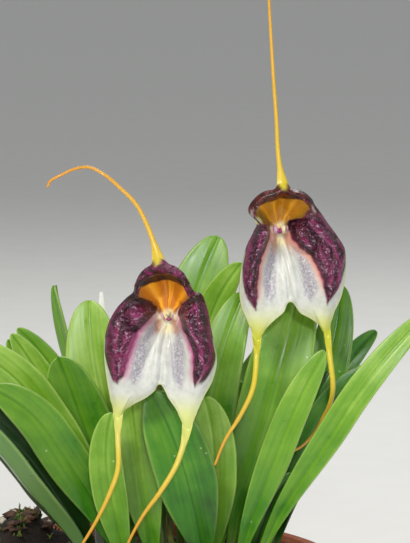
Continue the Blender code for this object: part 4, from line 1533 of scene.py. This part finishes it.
    def build_inner(self, finishes: dict[str, Material]) -> list[Object]:
        """Makes the column, the two small petals and the lip in the throat.

        Args:
            finishes: The column, petal and lip finishes by slot.

        Returns:
            The four objects.
        """
        made = []
        for organ in self.organs:
            bm = organ.draw()
            bmesh.ops.transform(bm, matrix=self.place(), verts=bm.verts)
            name = f"{self.name}_{organ.part}"
            made.append(finish_piece(name + "_fine", bm, finishes[organ.slot], (name,)))
        return made

    def stalk_points(self) -> list[Vector]:
        """The flower stalk's path: from inside the mix, up, and forward into the back of the cup.

        Returns:
            The points that it passes.
        """
        seat = self.place() @ Vector((0, self.THICKNESS + self.GAP, 0))
        behind = self.place() @ Vector((0, self.THICKNESS + 6.0, -0.4))
        collar, *rest = (Vector(point) for point in self.stalk)
        return [collar - UP * STEM_BURIED, collar, collar + UP * 4, *rest, behind, seat]

    def stem_skin(self, start: float, end: float, radii: Sequence[float]) -> BMesh:
        """A round body along part of the stalk's path, ribbed where the ovary swells.

        Args:
            start: Where on the path it starts, counted in points.
            end: Where it ends.
            radii: Its radius at even steps from the start to the end.

        Returns:
            The closed mesh.
        """
        path = self.stalk_points()
        last = len(path) - 1
        steps = max(12, round((end - start) * 10))
        skin = Skin(self.STALK_SIDES)
        across = Vector((1, 0, 0))
        for step in range(steps + 1):
            position = start + (end - start) * step / steps
            here, along, across = path_frame(path, position, across)
            radius = value_along(radii, step / steps * (len(radii) - 1))
            ribs = self.RIB_DEPTH * smooth_step(position, last - 2, last - 1)
            skin.ring([
                here + (across * math.cos(turn) + along.cross(across) * math.sin(turn))
                * radius * (1 + ribs * math.cos(self.RIBS * turn))
                for turn in skin.turns
            ])
        skin.close()
        return skin.bm

    def build_stalk(self, material: Material) -> Object:
        """Makes the thin flower stalk with its ribbed, swollen ovary behind the bloom.

        Args:
            material: The stalk's finish.

        Returns:
            The stalk's object.
        """
        last = len(self.stalk_points()) - 1
        radii = [self.STALK_RADIUS] * (last - 1)
        radii += [self.OVARY_RADIUS, self.OVARY_RADIUS * 0.8]
        radii[-3] *= 1.25
        bm = self.stem_skin(0, last, radii)
        return finish_piece(self.name + "_stalk_fine", bm, material, (self.name + "_stalk",))

    def build_sheaths(self, material: Material) -> list[Object]:
        """Wraps two thin dry sheaths round the stalk: one low down, one just below the ovary.

        Args:
            material: The sheaths' finish.

        Returns:
            The two objects.
        """
        radii = [self.STALK_RADIUS * share for share in self.SHEATH_SHARES]
        return [
            finish_piece(f"{self.name}_{name}", self.stem_skin(start, end, radii), material)
            for name, start, end in self.SHEATHS
        ]


LOWER_MARKINGS = Markings(
    pads=(
        ((-7.8, 6.4), (-5.8, 5.1), (-3.8, 3.9), (-2.7, 2.3), (-2.9, 0.6), (-4.8, -1.2), (-6.6, -2.7),
         (-7.7, -5.9), (-8.8, -8.4), (-9.6, -11.2), (-10.1, -14.1), (-12.0, -16.3), (-13.1, -13.2),
         (-13.8, -9.7), (-14.4, -7.2), (-14.4, -3.5), (-13.9, -1.0), (-12.2, 2.2), (-10.3, 5.0)),
        ((8.2, 7.3), (7.0, 6.5), (5.5, 4.9), (3.6, 3.6), (2.7, 2.1), (2.7, 0.2), (3.9, -2.0),
         (5.5, -4.7), (6.7, -7.5), (7.1, -11.0), (6.8, -14.1), (7.1, -16.9), (8.2, -15.4), (9.8, -13.1),
         (11.2, -10.3), (11.6, -7.8), (11.0, -4.4), (10.7, -1.2), (10.1, 3.1), (9.5, 6.2)),
    ),
    fan=((-7.6, 7.0), (-6.6, 7.9), (-4.1, 8.5), (-2.0, 9.0), (0.8, 9.3), (4.6, 8.6), (6.8, 7.6),
         (7.4, 7.0), (5.4, 4.9), (3.4, 3.6), (2.2, 2.4), (1.8, 0.9), (-1.9, 0.9), (-2.7, 2.3),
         (-4.1, 4.2), (-6.2, 5.6)),
    hood_line=((-7.1, 8.3), (-5.5, 10.2), (-2.7, 11.0), (1.3, 11.4), (4.3, 10.3), (6.5, 9.4)),
    streaks=(
        ((-3.0, -1.6), (-4.6, -3.2), (-6.1, -5.4), (-7.4, -8.3), (-8.5, -11.7), (-8.8, -14.9),
         (-7.7, -16.4), (-6.2, -14.2), (-5.5, -11.4), (-4.9, -8.2), (-4.3, -5.4), (-2.7, -3.2)),
        ((2.0, -1.5), (2.3, -4.0), (1.9, -7.2), (1.6, -11.3), (2.2, -15.3), (3.5, -17.2),
         (4.4, -14.7), (4.4, -11.2), (4.3, -8.1), (3.8, -4.9), (3.5, -3.1)),
    ),
    midline=((0.3, -1.1), (-0.3, -3.6), (-0.8, -6.8), (-1.1, -9.9), (-1.3, -13.1), (-1.4, -15.0)),
    swelling=((-7.2, 1.0), (-5.4, 0.6)),
    # Pink streaks with painted highlights: on the swelling, along the pads' ridges and over the hood.
    blushes_and_highlights=(
        (((-7.6, 1.6), (-6.6, 1.2)), 0.9, 0.6),
        (((-13.4, -2.0), (-12.6, -7.4), (-12.8, -11.8), (-12.7, -14.8)), 0.35, 0.35),
        (((-7.4, -4.0), (-9.6, -8.6), (-11.2, -13.5)), 0.6, 0.5),
        (((6.5, -3.0), (9.2, -7.4), (9.6, -11.8), (8.9, -14.2)), 0.3, 0.55),
        (((0.5, 14.0), (3.5, 12.2), (6.0, 9.8)), 0.8, 0.2),
        (((-9.6, 4.6), (-11.4, 2.0)), 0.25, 0.4),
    ),
    corners=(((6.4, 8.6), (7.6, 6.8)),),
    brown_hood=0.0,
    stains=(((-1.9, -0.8), (-2.5, -3.6)), ((1.6, -0.8), (2.2, -3.8))),
    ridges=((-21.0, 8.0, 1.0), (5.0, 2.2, 0.95), (10.0, 2.0, 0.7), (31.0, 5.5, 0.9), (-4.0, 2.0, 0.3)),
)

LOWER_ORGANS = (
    Organ("column", "column", ((0.1, 0.3, 0.5), (0.1, 2, 0.7), (0.3, 4, 0.8), (0.5, 5.1, 0.8)),
          (1.3, 1.2, 1.3, 1.1), 1.15),
    Organ("petal_left", "petal", ((-1.5, 0.3, 0.1), (-1.4, 2, 0.1), (-1.1, 3.7, -0.1), (-0.9, 4.5, -0.2)),
          (1.5, 2.0, 2.3, 1.7), 0.6, (0.55, 0.0, -0.83)),
    Organ("petal_right", "petal", ((1.4, 0.3, 0.0), (1.4, 1.6, -0.1), (1.4, 2.6, -0.2), (1.3, 3.1, -0.3)),
          (1.4, 1.8, 1.6, 0.9), 0.55, (0.0, 0.0, 1.0)),
    Organ("lip", "lip", ((0.2, 0.3, -1.2), (0.2, 1.8, -1.0), (0.4, 3.6, -0.6), (0.5, 4.3, -0.6)),
          (1.1, 1.3, 1.4, 1.0), 0.9),
)

UPPER_MARKINGS = Markings(
    pads=(
        ((-6.2, 2.3), (-4.7, 2.0), (-2.6, 1.3), (-2.6, -1.5), (-3.7, -3.7), (-5.3, -6.8), (-6.0, -9.7),
         (-6.3, -12.8), (-6.3, -16.6), (-6.8, -20.0), (-9.0, -16.9), (-10.1, -14.0), (-10.0, -10.9),
         (-9.3, -7.7), (-9.0, -4.6), (-7.8, -1.1)),
        ((2.0, 2.0), (2.0, 0.0), (2.9, -2.5), (4.8, -4.8), (6.8, -6.1), (8.4, -8.9), (9.8, -12.1),
         (10.5, -15.6), (11.3, -19.1), (13.5, -16.3), (14.4, -12.8), (14.7, -10.0), (15.6, -6.2),
         (15.0, -3.0), (13.0, -0.1), (10.5, 2.7), (7.3, 6.2), (6.0, 5.3), (4.8, 3.1)),
    ),
    fan=((-7.2, 6.0), (-5.0, 7.0), (-3.0, 7.5), (0.1, 8.0), (3.9, 8.0), (6.9, 7.4), (6.4, 5.4), (5.6, 4.0),
         (4.0, 2.4), (2.1, 1.4), (1.7, 0.8), (-1.7, 0.8), (-2.2, 1.6), (-4.3, 2.0), (-6.2, 3.7)),
    hood_line=((-8.3, 8.4), (-6.1, 10.2), (-3.6, 11.6), (-0.4, 12.2), (2.7, 11.8), (5.6, 10.2)),
    streaks=(
        ((-2.0, -2.9), (-2.9, -6.1), (-3.8, -9.2), (-4.5, -13.0), (-4.1, -16.2), (-2.9, -17.5),
         (-1.8, -15.6), (-1.8, -12.4), (-1.6, -9.2), (-1.3, -6.1)),
        ((3.1, -3.6), (4.1, -6.5), (5.0, -10.0), (5.7, -13.2), (6.0, -16.3), (7.3, -17.6),
         (8.6, -14.5), (7.9, -11.3), (6.9, -8.7), (5.3, -6.5)),
    ),
    midline=((0.1, -1.8), (0.4, -5.0), (0.9, -8.1), (1.4, -11.3), (1.7, -14.5), (1.9, -16.4)),
    swelling=((4.4, -1.2), (5.6, -3.0)),
    # Pink streaks with painted highlights along the pads' ridges.
    blushes_and_highlights=(
        (((6.8, 1.6), (9.6, -1.0), (13.0, -4.6), (14.6, -8.5), (14.2, -12.5)), 0.35, 0.5),
        (((9.0, -4.2), (12.0, -9.0), (12.6, -14.0)), 0.3, 0.3),
        (((-8.4, -3.0), (-9.2, -8.0), (-8.6, -13.5)), 0.3, 0.3),
    ),
    corners=(((-8.0, 5.2), (-8.0, 3.2)), ((7.0, 6.7), (8.0, 5.0))),
    brown_hood=1.0,
    stains=(((-1.3, -1.6), (-1.4, -6.0)), ((1.4, -1.4), (2.3, -4.4), (3.9, -7.4))),
    ridges=((-36.0, 4.0, 0.7), (-14.0, 3.5, 0.9), (19.0, 4.0, 0.9), (3.0, 2.0, 0.35)),
)

UPPER_ORGANS = (
    Organ("column", "column", ((0.2, 0.3, 0.4), (0.4, 2, 0.3), (0.8, 4, 0.0), (1.0, 4.8, -0.1)),
          (1.3, 1.2, 1.2, 1.0), 2.2),
    Organ("petal_left", "petal", ((-1.4, 0.3, 0.0), (-1.3, 2, 0.0), (-1.2, 3.6, -0.1), (-1.1, 4.4, -0.2)),
          (1.4, 1.9, 2.1, 1.8), 1.3, (0.0, 0.0, 1.0)),
    Organ("petal_right", "petal", ((1.6, 0.3, 0.0), (1.7, 2, -0.1), (1.8, 3.0, -0.2), (1.8, 3.6, -0.3)),
          (1.4, 1.8, 1.6, 1.0), 0.5, (0.0, 0.0, 1.0)),
    Organ("lip", "lip", ((-0.1, 0.3, -1.2), (-0.1, 1.8, -0.9), (-0.1, 3.7, -0.3), (-0.1, 4.6, -0.2)),
          (1.1, 1.4, 1.5, 1.2), 1.3),
)

LOWER_BLOOM = Bloom(
    name="lower_bloom",
    throat=(-2.5, -27.0, 156.0),
    turn_deg=-5.0,
    outline=(
        (-2.1, 15.2), (0.5, 14.4), (4.2, 12.1), (6.0, 9.2), (7.1, 7.1), (8.9, 6.3), (10.2, 2.9),
        (11.0, -2.1), (12.1, -7.3), (12.6, -11.0), (11.5, -15.7), (9.4, -19.7), (7.9, -23.1),
        (6.8, -26.2), (5.5, -27.8), (3.9, -26.2), (2.6, -23.1), (0.5, -19.9), (-0.5, -17.8),
        (-1.6, -16.5), (-2.9, -18.3), (-5.2, -20.2), (-8.4, -22.0), (-10.7, -23.8), (-12.3, -25.4),
        (-13.6, -23.1), (-14.4, -19.4), (-15.2, -14.7), (-15.7, -10.0), (-15.5, -5.5),
        (-14.4, -1.3), (-12.3, 2.4), (-9.7, 5.2), (-8.1, 6.6), (-7.6, 8.6), (-6.3, 11.3),
        (-4.5, 13.1), (-3.4, 13.9),
    ),
    tails=(
        ((-6, -33, 174.5), (-8, -31, 179.5), (-10.5, -30, 184), (-14.5, -29, 188), (-18, -29, 191),
         (-22, -29, 193), (-25.5, -30, 192.7), (-29, -31, 191.2), (-31.5, -31, 189.8),
         (-32.2, -31, 188.3)),
        ((1.6, -36, 126), (-0.6, -38.5, 120), (-4.3, -40, 114), (-8.5, -39.5, 108),
         (-11.5, -38.5, 102.5), (-13.2, -38, 98.5)),
        ((-15, -36, 126), (-15, -37.5, 119), (-17, -38, 113), (-20, -37.5, 106.5), (-24, -36.5, 99.5),
         (-26, -36, 96.5)),
    ),
    stalk=((-2, -3, SOIL), (-4, -4, 118), (-6, -9, 140), (-4.5, -17, 152.5)),
    markings=LOWER_MARKINGS,
    organs=LOWER_ORGANS,
    seed=1.7,
)

UPPER_BLOOM = Bloom(
    name="upper_bloom",
    throat=(25.2, -16.0, 176.5),
    turn_deg=6.0,
    outline=(
        (0.0, 12.0), (1.8, 11.0), (5.0, 10.0), (7.3, 8.1), (8.1, 6.6), (9.7, 4.5), (11.8, 1.6),
        (14.3, -1.8), (16.3, -5.2), (16.6, -8.9), (16.2, -13.6), (15.2, -17.6), (13.6, -21.0),
        (12.6, -24.6), (11.8, -27.0), (10.7, -26.2), (9.4, -24.1), (7.3, -22.5), (4.7, -21.0),
        (2.1, -18.1), (0.5, -20.7), (-1.6, -22.5), (-3.7, -24.6), (-5.0, -26.7), (-6.3, -27.8),
        (-7.6, -25.7), (-8.9, -22.5), (-10.2, -19.4), (-10.7, -15.7), (-10.5, -11.5),
        (-9.7, -7.1), (-8.6, -3.1), (-7.1, -0.3), (-6.5, 2.1), (-8.6, 4.7), (-8.1, 7.1),
        (-5.5, 9.7), (-1.8, 11.0),
    ),
    tails=(
        ((24.9, -22, 195), (24.4, -21, 204), (23.5, -20, 216.5), (22.8, -19, 228), (22.2, -19.5, 237),
         (21.2, -20.5, 245)),
        ((38, -25, 144.5), (38.8, -25, 137.5), (38.3, -21.5, 132), (36.5, -17.0, 127),
         (34.2, -15.2, 122.5), (31.5, -15.5, 119.7), (29, -16.5, 118.5)),
        ((19.5, -27, 145.5), (18.5, -29, 137.5), (15.5, -30, 131), (11.5, -30.5, 124.5), (9, -29.5, 118)),
    ),
    stalk=((9.5, 5.5, SOIL), (18, 5, 120), (25, 4, 155), (26, -2, 168)),
    markings=UPPER_MARKINGS,
    organs=UPPER_ORGANS,
    seed=6.3,
)


# The pot and what fills it.


@dataclass
class ClayPot:
    """A round terracotta pot with a rolled rim and drain holes in its foot."""

    height: float = 82.5
    foot_radius: float = 38.0
    neck_radius: float = 51.0
    rim_radius: float = 56.0
    lip: float = 1.2
    rim_depth: float = 19.0
    wall: float = 4.0
    floor: float = 5.0
    sides: int = 144
    holes: int = 5
    hole_radius: float = 4.0
    hole_ring: float = 22.0

    def profile(self) -> list[tuple[float, float]]:
        """The pot's outline, from the middle of the foot up and back down inside.

        Returns:
            The radius and the height of each of its points.
        """
        step = self.height - self.rim_depth
        inner_top = self.rim_radius - self.wall - 1.0
        return [
            (0, 0), (self.foot_radius - 1, 0), (self.foot_radius, 1), (self.neck_radius, step),
            (self.rim_radius - 1.4, step), (self.rim_radius - 0.4, step + 1.0),
            (self.rim_radius, self.height - self.lip), (self.rim_radius - self.lip, self.height),
            (inner_top + self.lip, self.height), (inner_top, self.height - self.lip),
            (self.neck_radius - self.wall, step - 2), (self.foot_radius - self.wall, self.floor),
            (0, self.floor),
        ]

    def build(self, material: Material) -> Object:
        """Spins the pot, rounds its edges and cuts its drain holes.

        Args:
            material: The clay.

        Returns:
            The pot's object.
        """
        bm = bmesh.new()
        chain = [bm.verts.new((radius, 0, height)) for radius, height in self.profile()]
        edges = [bm.edges.new(pair) for pair in zip(chain, chain[1:])]
        bmesh.ops.spin(
            bm, geom=chain + edges, cent=(0, 0, 0), axis=(0, 0, 1), angle=math.tau,
            steps=self.sides, use_merge=True,
        )
        bmesh.ops.remove_doubles(bm, verts=bm.verts, dist=0.001)
        made = finish_piece("pot_fine", bm, material, ("pot",), NO_SHIFT)
        self.cut_holes(made)
        return made

    def cut_holes(self, pot: Object) -> None:
        """Cuts the drain holes through the pot's floor.

        Args:
            pot: The pot's object.
        """
        tools = bmesh.new()
        for number in range(self.holes):
            turn = math.tau * number / self.holes
            centre = Vector((math.cos(turn), math.sin(turn), 0)) * self.hole_ring + UP * self.floor / 2
            bmesh.ops.create_cone(
                tools, cap_ends=True, segments=32, radius1=self.hole_radius, radius2=self.hole_radius,
                depth=self.floor * 3, matrix=Matrix.Translation(centre),
            )
        bmesh.ops.scale(tools, vec=(MM, MM, MM), verts=tools.verts)
        cutter = link_mesh("drain_holes", tools)
        boolean = pot.modifiers.new("drain_holes", "BOOLEAN")
        boolean.object = cutter
        boolean.operation = "DIFFERENCE"
        boolean.solver = "EXACT"
        graph = bpy.context.evaluated_depsgraph_get()
        cut = bpy.data.meshes.new_from_object(pot.evaluated_get(graph))
        pot.modifiers.clear()
        pot.data = cut
        cut.set_sharp_from_angle(angle=math.radians(32))
        bpy.data.objects.remove(cutter)


def random_lean(dice: random.Random, most: float) -> Matrix:
    """A lean about X and then Y, each by up to the given angle in radians."""
    about_x = Matrix.Rotation(dice.uniform(-most, most), 4, "X")
    return about_x @ Matrix.Rotation(dice.uniform(-most, most), 4, "Y")


@dataclass
class PottingMix:
    """Damp bark mix with living moss, flat round the stems and heaped up at the left."""

    radius: float = 50.0
    mound_middle: tuple[float, float] = (-34.0, 18.0)
    mound_height: float = 14.5
    mound_spread: float = 11.0
    flat_radius: float = 34.0
    sides: int = 128
    rings: int = 56
    chips: int = 620
    tufts: int = 900
    crumbs: int = 130
    strewn_radius: float = 48.0
    top_radius: float = 49.6
    sprigs: int = 6
    chip_edge: float = 0.18

    # The bed's rings below its top, by radius and height, and the least and most of a chip's sides.
    WALL_RINGS = ((33.6, 5.3), (46.6, 61.4), (49.8, SOIL - 1.0))
    CHIP_SIDES = ((1.6, 5.2), (1.2, 3.2), (0.5, 1.5))

    def height(self, x: float, y: float) -> float:
        """The top of the mix: flat round the stems, lumpy beyond, and heaped up at the left.

        Args:
            x: Across from the pot's middle.
            y: Back from the pot's middle.

        Returns:
            Its height there.
        """
        radius = math.hypot(x, y)
        lumps = 1.1 * math.sin(x * 0.41 + 1.1) * math.cos(y * 0.37) + 0.8 * math.sin(x * 0.83 - y * 0.71)
        away = ((x - self.mound_middle[0]) ** 2 + (y - self.mound_middle[1]) ** 2) / self.mound_spread**2
        edge = 1 - smooth_step(radius, self.flat_radius + 9, self.radius)
        heap = self.mound_height * math.exp(-away / 2) * edge
        raised = smooth_step(radius, self.flat_radius - 7, self.flat_radius + 2)
        return SOIL + (lumps * edge + heap) * raised

    def build_bed(self, material: Material) -> Object:
        """Makes the body of the mix, from the pot's floor to its crumbly top.

        Args:
            material: The dark mix.

        Returns:
            The bed's object.
        """
        skin = Skin(self.sides)
        for radius, height in self.WALL_RINGS:
            skin.ring([Vector((radius * math.cos(t), radius * math.sin(t), height)) for t in skin.turns])
        for step in range(self.rings):
            radius = self.top_radius * (1 - step / self.rings)
            points = []
            for turn in skin.turns:
                x, y = radius * math.cos(turn), radius * math.sin(turn)
                point = Vector((x, y, self.height(x, y)))
                point.z += 0.5 * rough(point, 3.5, 4.0) + 0.3 * rough(point, 1.4, 8.0) - 0.4
                points.append(point)
            skin.ring(points)
        skin.close()
        return finish_piece("bark_mix_fine", skin.bm, material, ("bark_mix",), NO_SHIFT)

    def spots(self, count: int, seed: int) -> list[Vector]:
        """Seeded places all over the top of the mix.

        Args:
            count: How many.
            seed: The seed of the draws.

        Returns:
            The places.
        """
        dice = random.Random(seed)
        made = []
        for _ in range(count):
            radius, turn = self.strewn_radius * math.sqrt(dice.random()), math.tau * dice.random()
            x, y = radius * math.cos(turn), radius * math.sin(turn)
            made.append(Vector((x, y, self.height(x, y))))
        return made

    def build_chips(self, material: Material) -> Object:
        """Strews flat, splintered chips of bark over the mix.

        Args:
            material: The bark.

        Returns:
            The chips as one object.
        """
        dice = random.Random(5)
        bm = bmesh.new()
        for spot in self.spots(self.chips, 11):
            size = Vector([dice.uniform(*limits) for limits in self.CHIP_SIDES])
            turn = Matrix.Rotation(dice.uniform(0, math.tau), 4, "Z")
            lean = random_lean(dice, 0.5)
            place = Matrix.Translation(spot + UP * dice.uniform(0.0, 0.7)) @ turn @ lean
            chip = bmesh.ops.create_cube(bm, size=1.0, matrix=place @ Matrix.Diagonal((*size, 1.0)))["verts"]
            for vertex in chip:
                vertex.co += Vector([dice.uniform(-0.35, 0.35) * part for part in size])
        bmesh.ops.bevel(
            bm, geom=list(bm.edges), offset=self.chip_edge, affect="EDGES", segments=1, profile=0.5,
            material=-1,
        )
        return finish_piece("bark_chips", bm, material, (), NO_SHIFT, turn_out=False)

    def build_moss(self, material: Material) -> Object:
        """Grows tufts of moss over the mix, thickest on the heap.

        Args:
            material: The moss.

        Returns:
            The moss as one object.
        """
        dice = random.Random(23)
        bm = bmesh.new()
        heap = Vector((*self.mound_middle, 0))
        for spot in self.spots(self.tufts, 31):
            near = bell((Vector((spot.x, spot.y, 0)) - heap).length, 18.0)
            if dice.random() > 0.30 + 0.7 * near:
                continue
            for _ in range(self.sprigs):
                foot = spot + Vector((dice.uniform(-1.2, 1.2), dice.uniform(-1.2, 1.2), -0.3))
                lean = random_lean(dice, 0.7)
                tall = dice.uniform(1.0, 2.4)
                place = Matrix.Translation(foot) @ lean @ Matrix.Translation(UP * tall / 2)
                bmesh.ops.create_cone(
                    bm, cap_ends=True, segments=4, radius1=0.28, radius2=0.06, depth=tall, matrix=place)
        return finish_piece("moss_tufts", bm, material, (), NO_SHIFT, turn_out=False)

    def build_crumbs(self, material: Material) -> Object:
        """Scatters a few pale crumbs of pumice.

        Args:
            material: The pumice.

        Returns:
            The crumbs as one object.
        """
        dice = random.Random(41)
        bm = bmesh.new()
        for spot in self.spots(self.crumbs, 47):
            crumb = bmesh.ops.create_icosphere(
                bm, subdivisions=1, radius=dice.uniform(0.5, 1.3), matrix=Matrix.Translation(spot + UP * 0.6))
            for vertex in crumb["verts"]:
                vertex.co += Vector([dice.uniform(-0.2, 0.2) for _ in range(3)])
        return finish_piece("pumice_crumbs", bm, material, (), NO_SHIFT, turn_out=False)


@dataclass
class PlantLabel:
    """A blank white plastic plant label that stands in the mix, pointed end up."""

    foot: tuple[float, float] = (-20.0, 19.5)
    top: Spot = (-21.6, 19.5, 154.6)
    width: float = 8.0
    thickness: float = 0.8
    tip_width: float = 0.8
    taper: float = 26.0
    turn_deg: float = 30.0
    edge: float = 0.15

    def build(self, material: Material) -> Object:
        """Makes the label with softened edges.

        Args:
            material: The label's plastic.

        Returns:
            The label's object.
        """
        foot = Vector((*self.foot, SOIL - STEM_BURIED))
        knee = Vector((*self.foot, SOIL + 1.0))
        top = Vector(self.top)
        side = Matrix.Rotation(math.radians(self.turn_deg), 3, "Z") @ Vector((1, 0, 0))
        front = side.cross(UP)
        skin = Skin(4)
        shoulder = top + (knee - top).normalized() * self.taper
        depth = front * self.thickness / 2
        for middle, width in (
            (foot, self.width), (knee, self.width), (shoulder, self.width), (top, self.tip_width),
        ):
            half = side * width / 2
            skin.ring([middle + half * x + depth * y for x, y in ((-1, -1), (1, -1), (1, 1), (-1, 1))])
        skin.close()
        bmesh.ops.bevel(
            skin.bm, geom=list(skin.bm.edges), offset=self.edge, affect="EDGES", segments=2, profile=0.5,
            material=-1,
        )
        made = finish_piece("plant_label_fine", skin.bm, material, ("plant_label",))
        made.data.set_sharp_from_angle(angle=math.radians(40))
        return made


# The studio.


@dataclass
class Studio:
    """A pale floor, soft lights and the camera that takes the photograph's view."""

    target: Vector = field(default_factory=lambda: Vector((16.55, 0.0, 163.0)) * MM)
    distance: float = 560 * MM
    elevation_deg: float = 8.0
    view_height: float = 142.3 * MM
    sensor: float = 36.0
    floor_radius: float = 30.0
    clip_end: float = 200.0

    # Each light's name, its place from the target and its side in metres, its watts and its colour.
    LIGHTS = (
        ("key", (-0.40, -0.80, 0.70), 0.24, 9.0, "#FFF8EE"),
        ("front", (0.05, -0.95, 0.30), 0.07, 3.0, "#FFFFFF"),
        ("fill", (0.8, -0.6, 0.35), 0.5, 1.2, "#EAF1FF"),
        ("back", (0.2, 0.8, 0.8), 0.5, 5.0, "#FFFFFF"),
    )

    def build(self) -> None:
        """Sets up the floor, the world, the lights and the camera."""
        self.build_floor()
        self.build_world()
        for light in self.LIGHTS:
            self.add_light(*light)
        self.build_camera()

    def build_floor(self) -> None:
        """Lays the wide floor of matt studio paper, which takes soft shadows and gives no gloss."""
        bm = bmesh.new()
        bmesh.ops.create_circle(bm, cap_ends=True, segments=96, radius=self.floor_radius)
        floor = link_mesh("floor", bm)
        paper, tree, shader = start_material("matt_studio_paper")
        where = add_node(tree, "TexCoord").outputs["Object"]
        grain = add_node(tree, "TexNoise", {"Vector": where, "Scale": 40.0, "Detail": 3.0}).outputs["Fac"]
        colour = add_node(tree, "ValToRGB", {"Fac": grain}, stops=((0.3, "#E9E9E5"), (0.7, "#ECECE8")))
        set_inputs(tree, shader, {"Base Color": colour.outputs["Color"], "Roughness": 0.9})
        floor.data.materials.append(paper)

    def build_world(self) -> None:
        """Gives the room its soft, even light."""
        world = bpy.data.worlds.new("studio_room")
        world.use_nodes = True
        background = world.node_tree.nodes["Background"]
        set_inputs(world.node_tree, background, {"Color": "#F2F4F6", "Strength": 0.38})
        bpy.context.scene.world = world

    def add_light(self, name: str, place: Spot, size: float, power: float, colour: str) -> None:
        """Adds a soft square light that faces the plant.

        Args:
            name: The light's name.
            place: Where it stands from the target, in metres.
            size: The length of its side, in metres.
            power: Its power, in watts.
            colour: Its colour.
        """
        lamp = bpy.data.lights.new(name, "AREA")
        lamp.size = size
        lamp.energy = power
        lamp.color = linear(colour)[:3]
        made = bpy.data.objects.new(name, lamp)
        made.location = self.target + Vector(place)
        made.rotation_euler = (-Vector(place)).to_track_quat("-Z", "Y").to_euler()
        bpy.context.scene.collection.objects.link(made)

    def build_camera(self) -> None:
        """Puts the camera at the photograph's viewing angle."""
        camera = bpy.data.cameras.new("photo_view")
        camera.sensor_fit = "VERTICAL"
        camera.sensor_height = self.sensor
        camera.sensor_width = self.sensor
        camera.lens = self.sensor * self.distance / self.view_height
        camera.clip_end = self.clip_end
        made = bpy.data.objects.new("photo_view", camera)
        lift = math.radians(self.elevation_deg)
        offset = Vector((0.0, -math.cos(lift), math.sin(lift))) * self.distance
        made.location = self.target + offset
        made.rotation_euler = (-offset).to_track_quat("-Z", "Y").to_euler()
        bpy.context.scene.collection.objects.link(made)
        bpy.context.scene.camera = made
        bpy.context.scene.view_settings.view_transform = "Standard"


def main() -> None:
    """Builds the plant, its pot and the studio."""
    logging.basicConfig(level=logging.INFO, format="%(message)s")
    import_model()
    Studio().build()
    leaf_skin = LeafFinish().material()
    for leaf in LEAVES:
        leaf.build(leaf_skin)
    flesh = {
        LOWER_BLOOM: SepalFinish().material("fleshy_sepal_lower"),
        UPPER_BLOOM: UPPER_FLESH.material("fleshy_sepal_upper"),
    }
    inner = {
        "column": Tint.COLUMN.value.material(),
        "petal": Tint.PETAL.value.material(),
        "lip": Tint.LIP.value.material(),
    }
    stalk_skin, sheath_skin = Tint.STALK.value.material(), Tint.SHEATH.value.material()
    for bloom, sepal_flesh in flesh.items():
        bloom.build_sepals(sepal_flesh)
        bloom.build_inner(inner)
        bloom.build_stalk(stalk_skin)
        bloom.build_sheaths(sheath_skin)
    mix = PottingMix()
    mix.build_bed(Tint.PEAT.value.material())
    mix.build_chips(Tint.BARK.value.material())
    mix.build_moss(Tint.MOSS.value.material())
    mix.build_crumbs(Tint.PUMICE.value.material())
    PlantLabel().build(Tint.LABEL.value.material())
    ClayPot().build(ClayFinish().material())


if __name__ == "__main__":
    main()
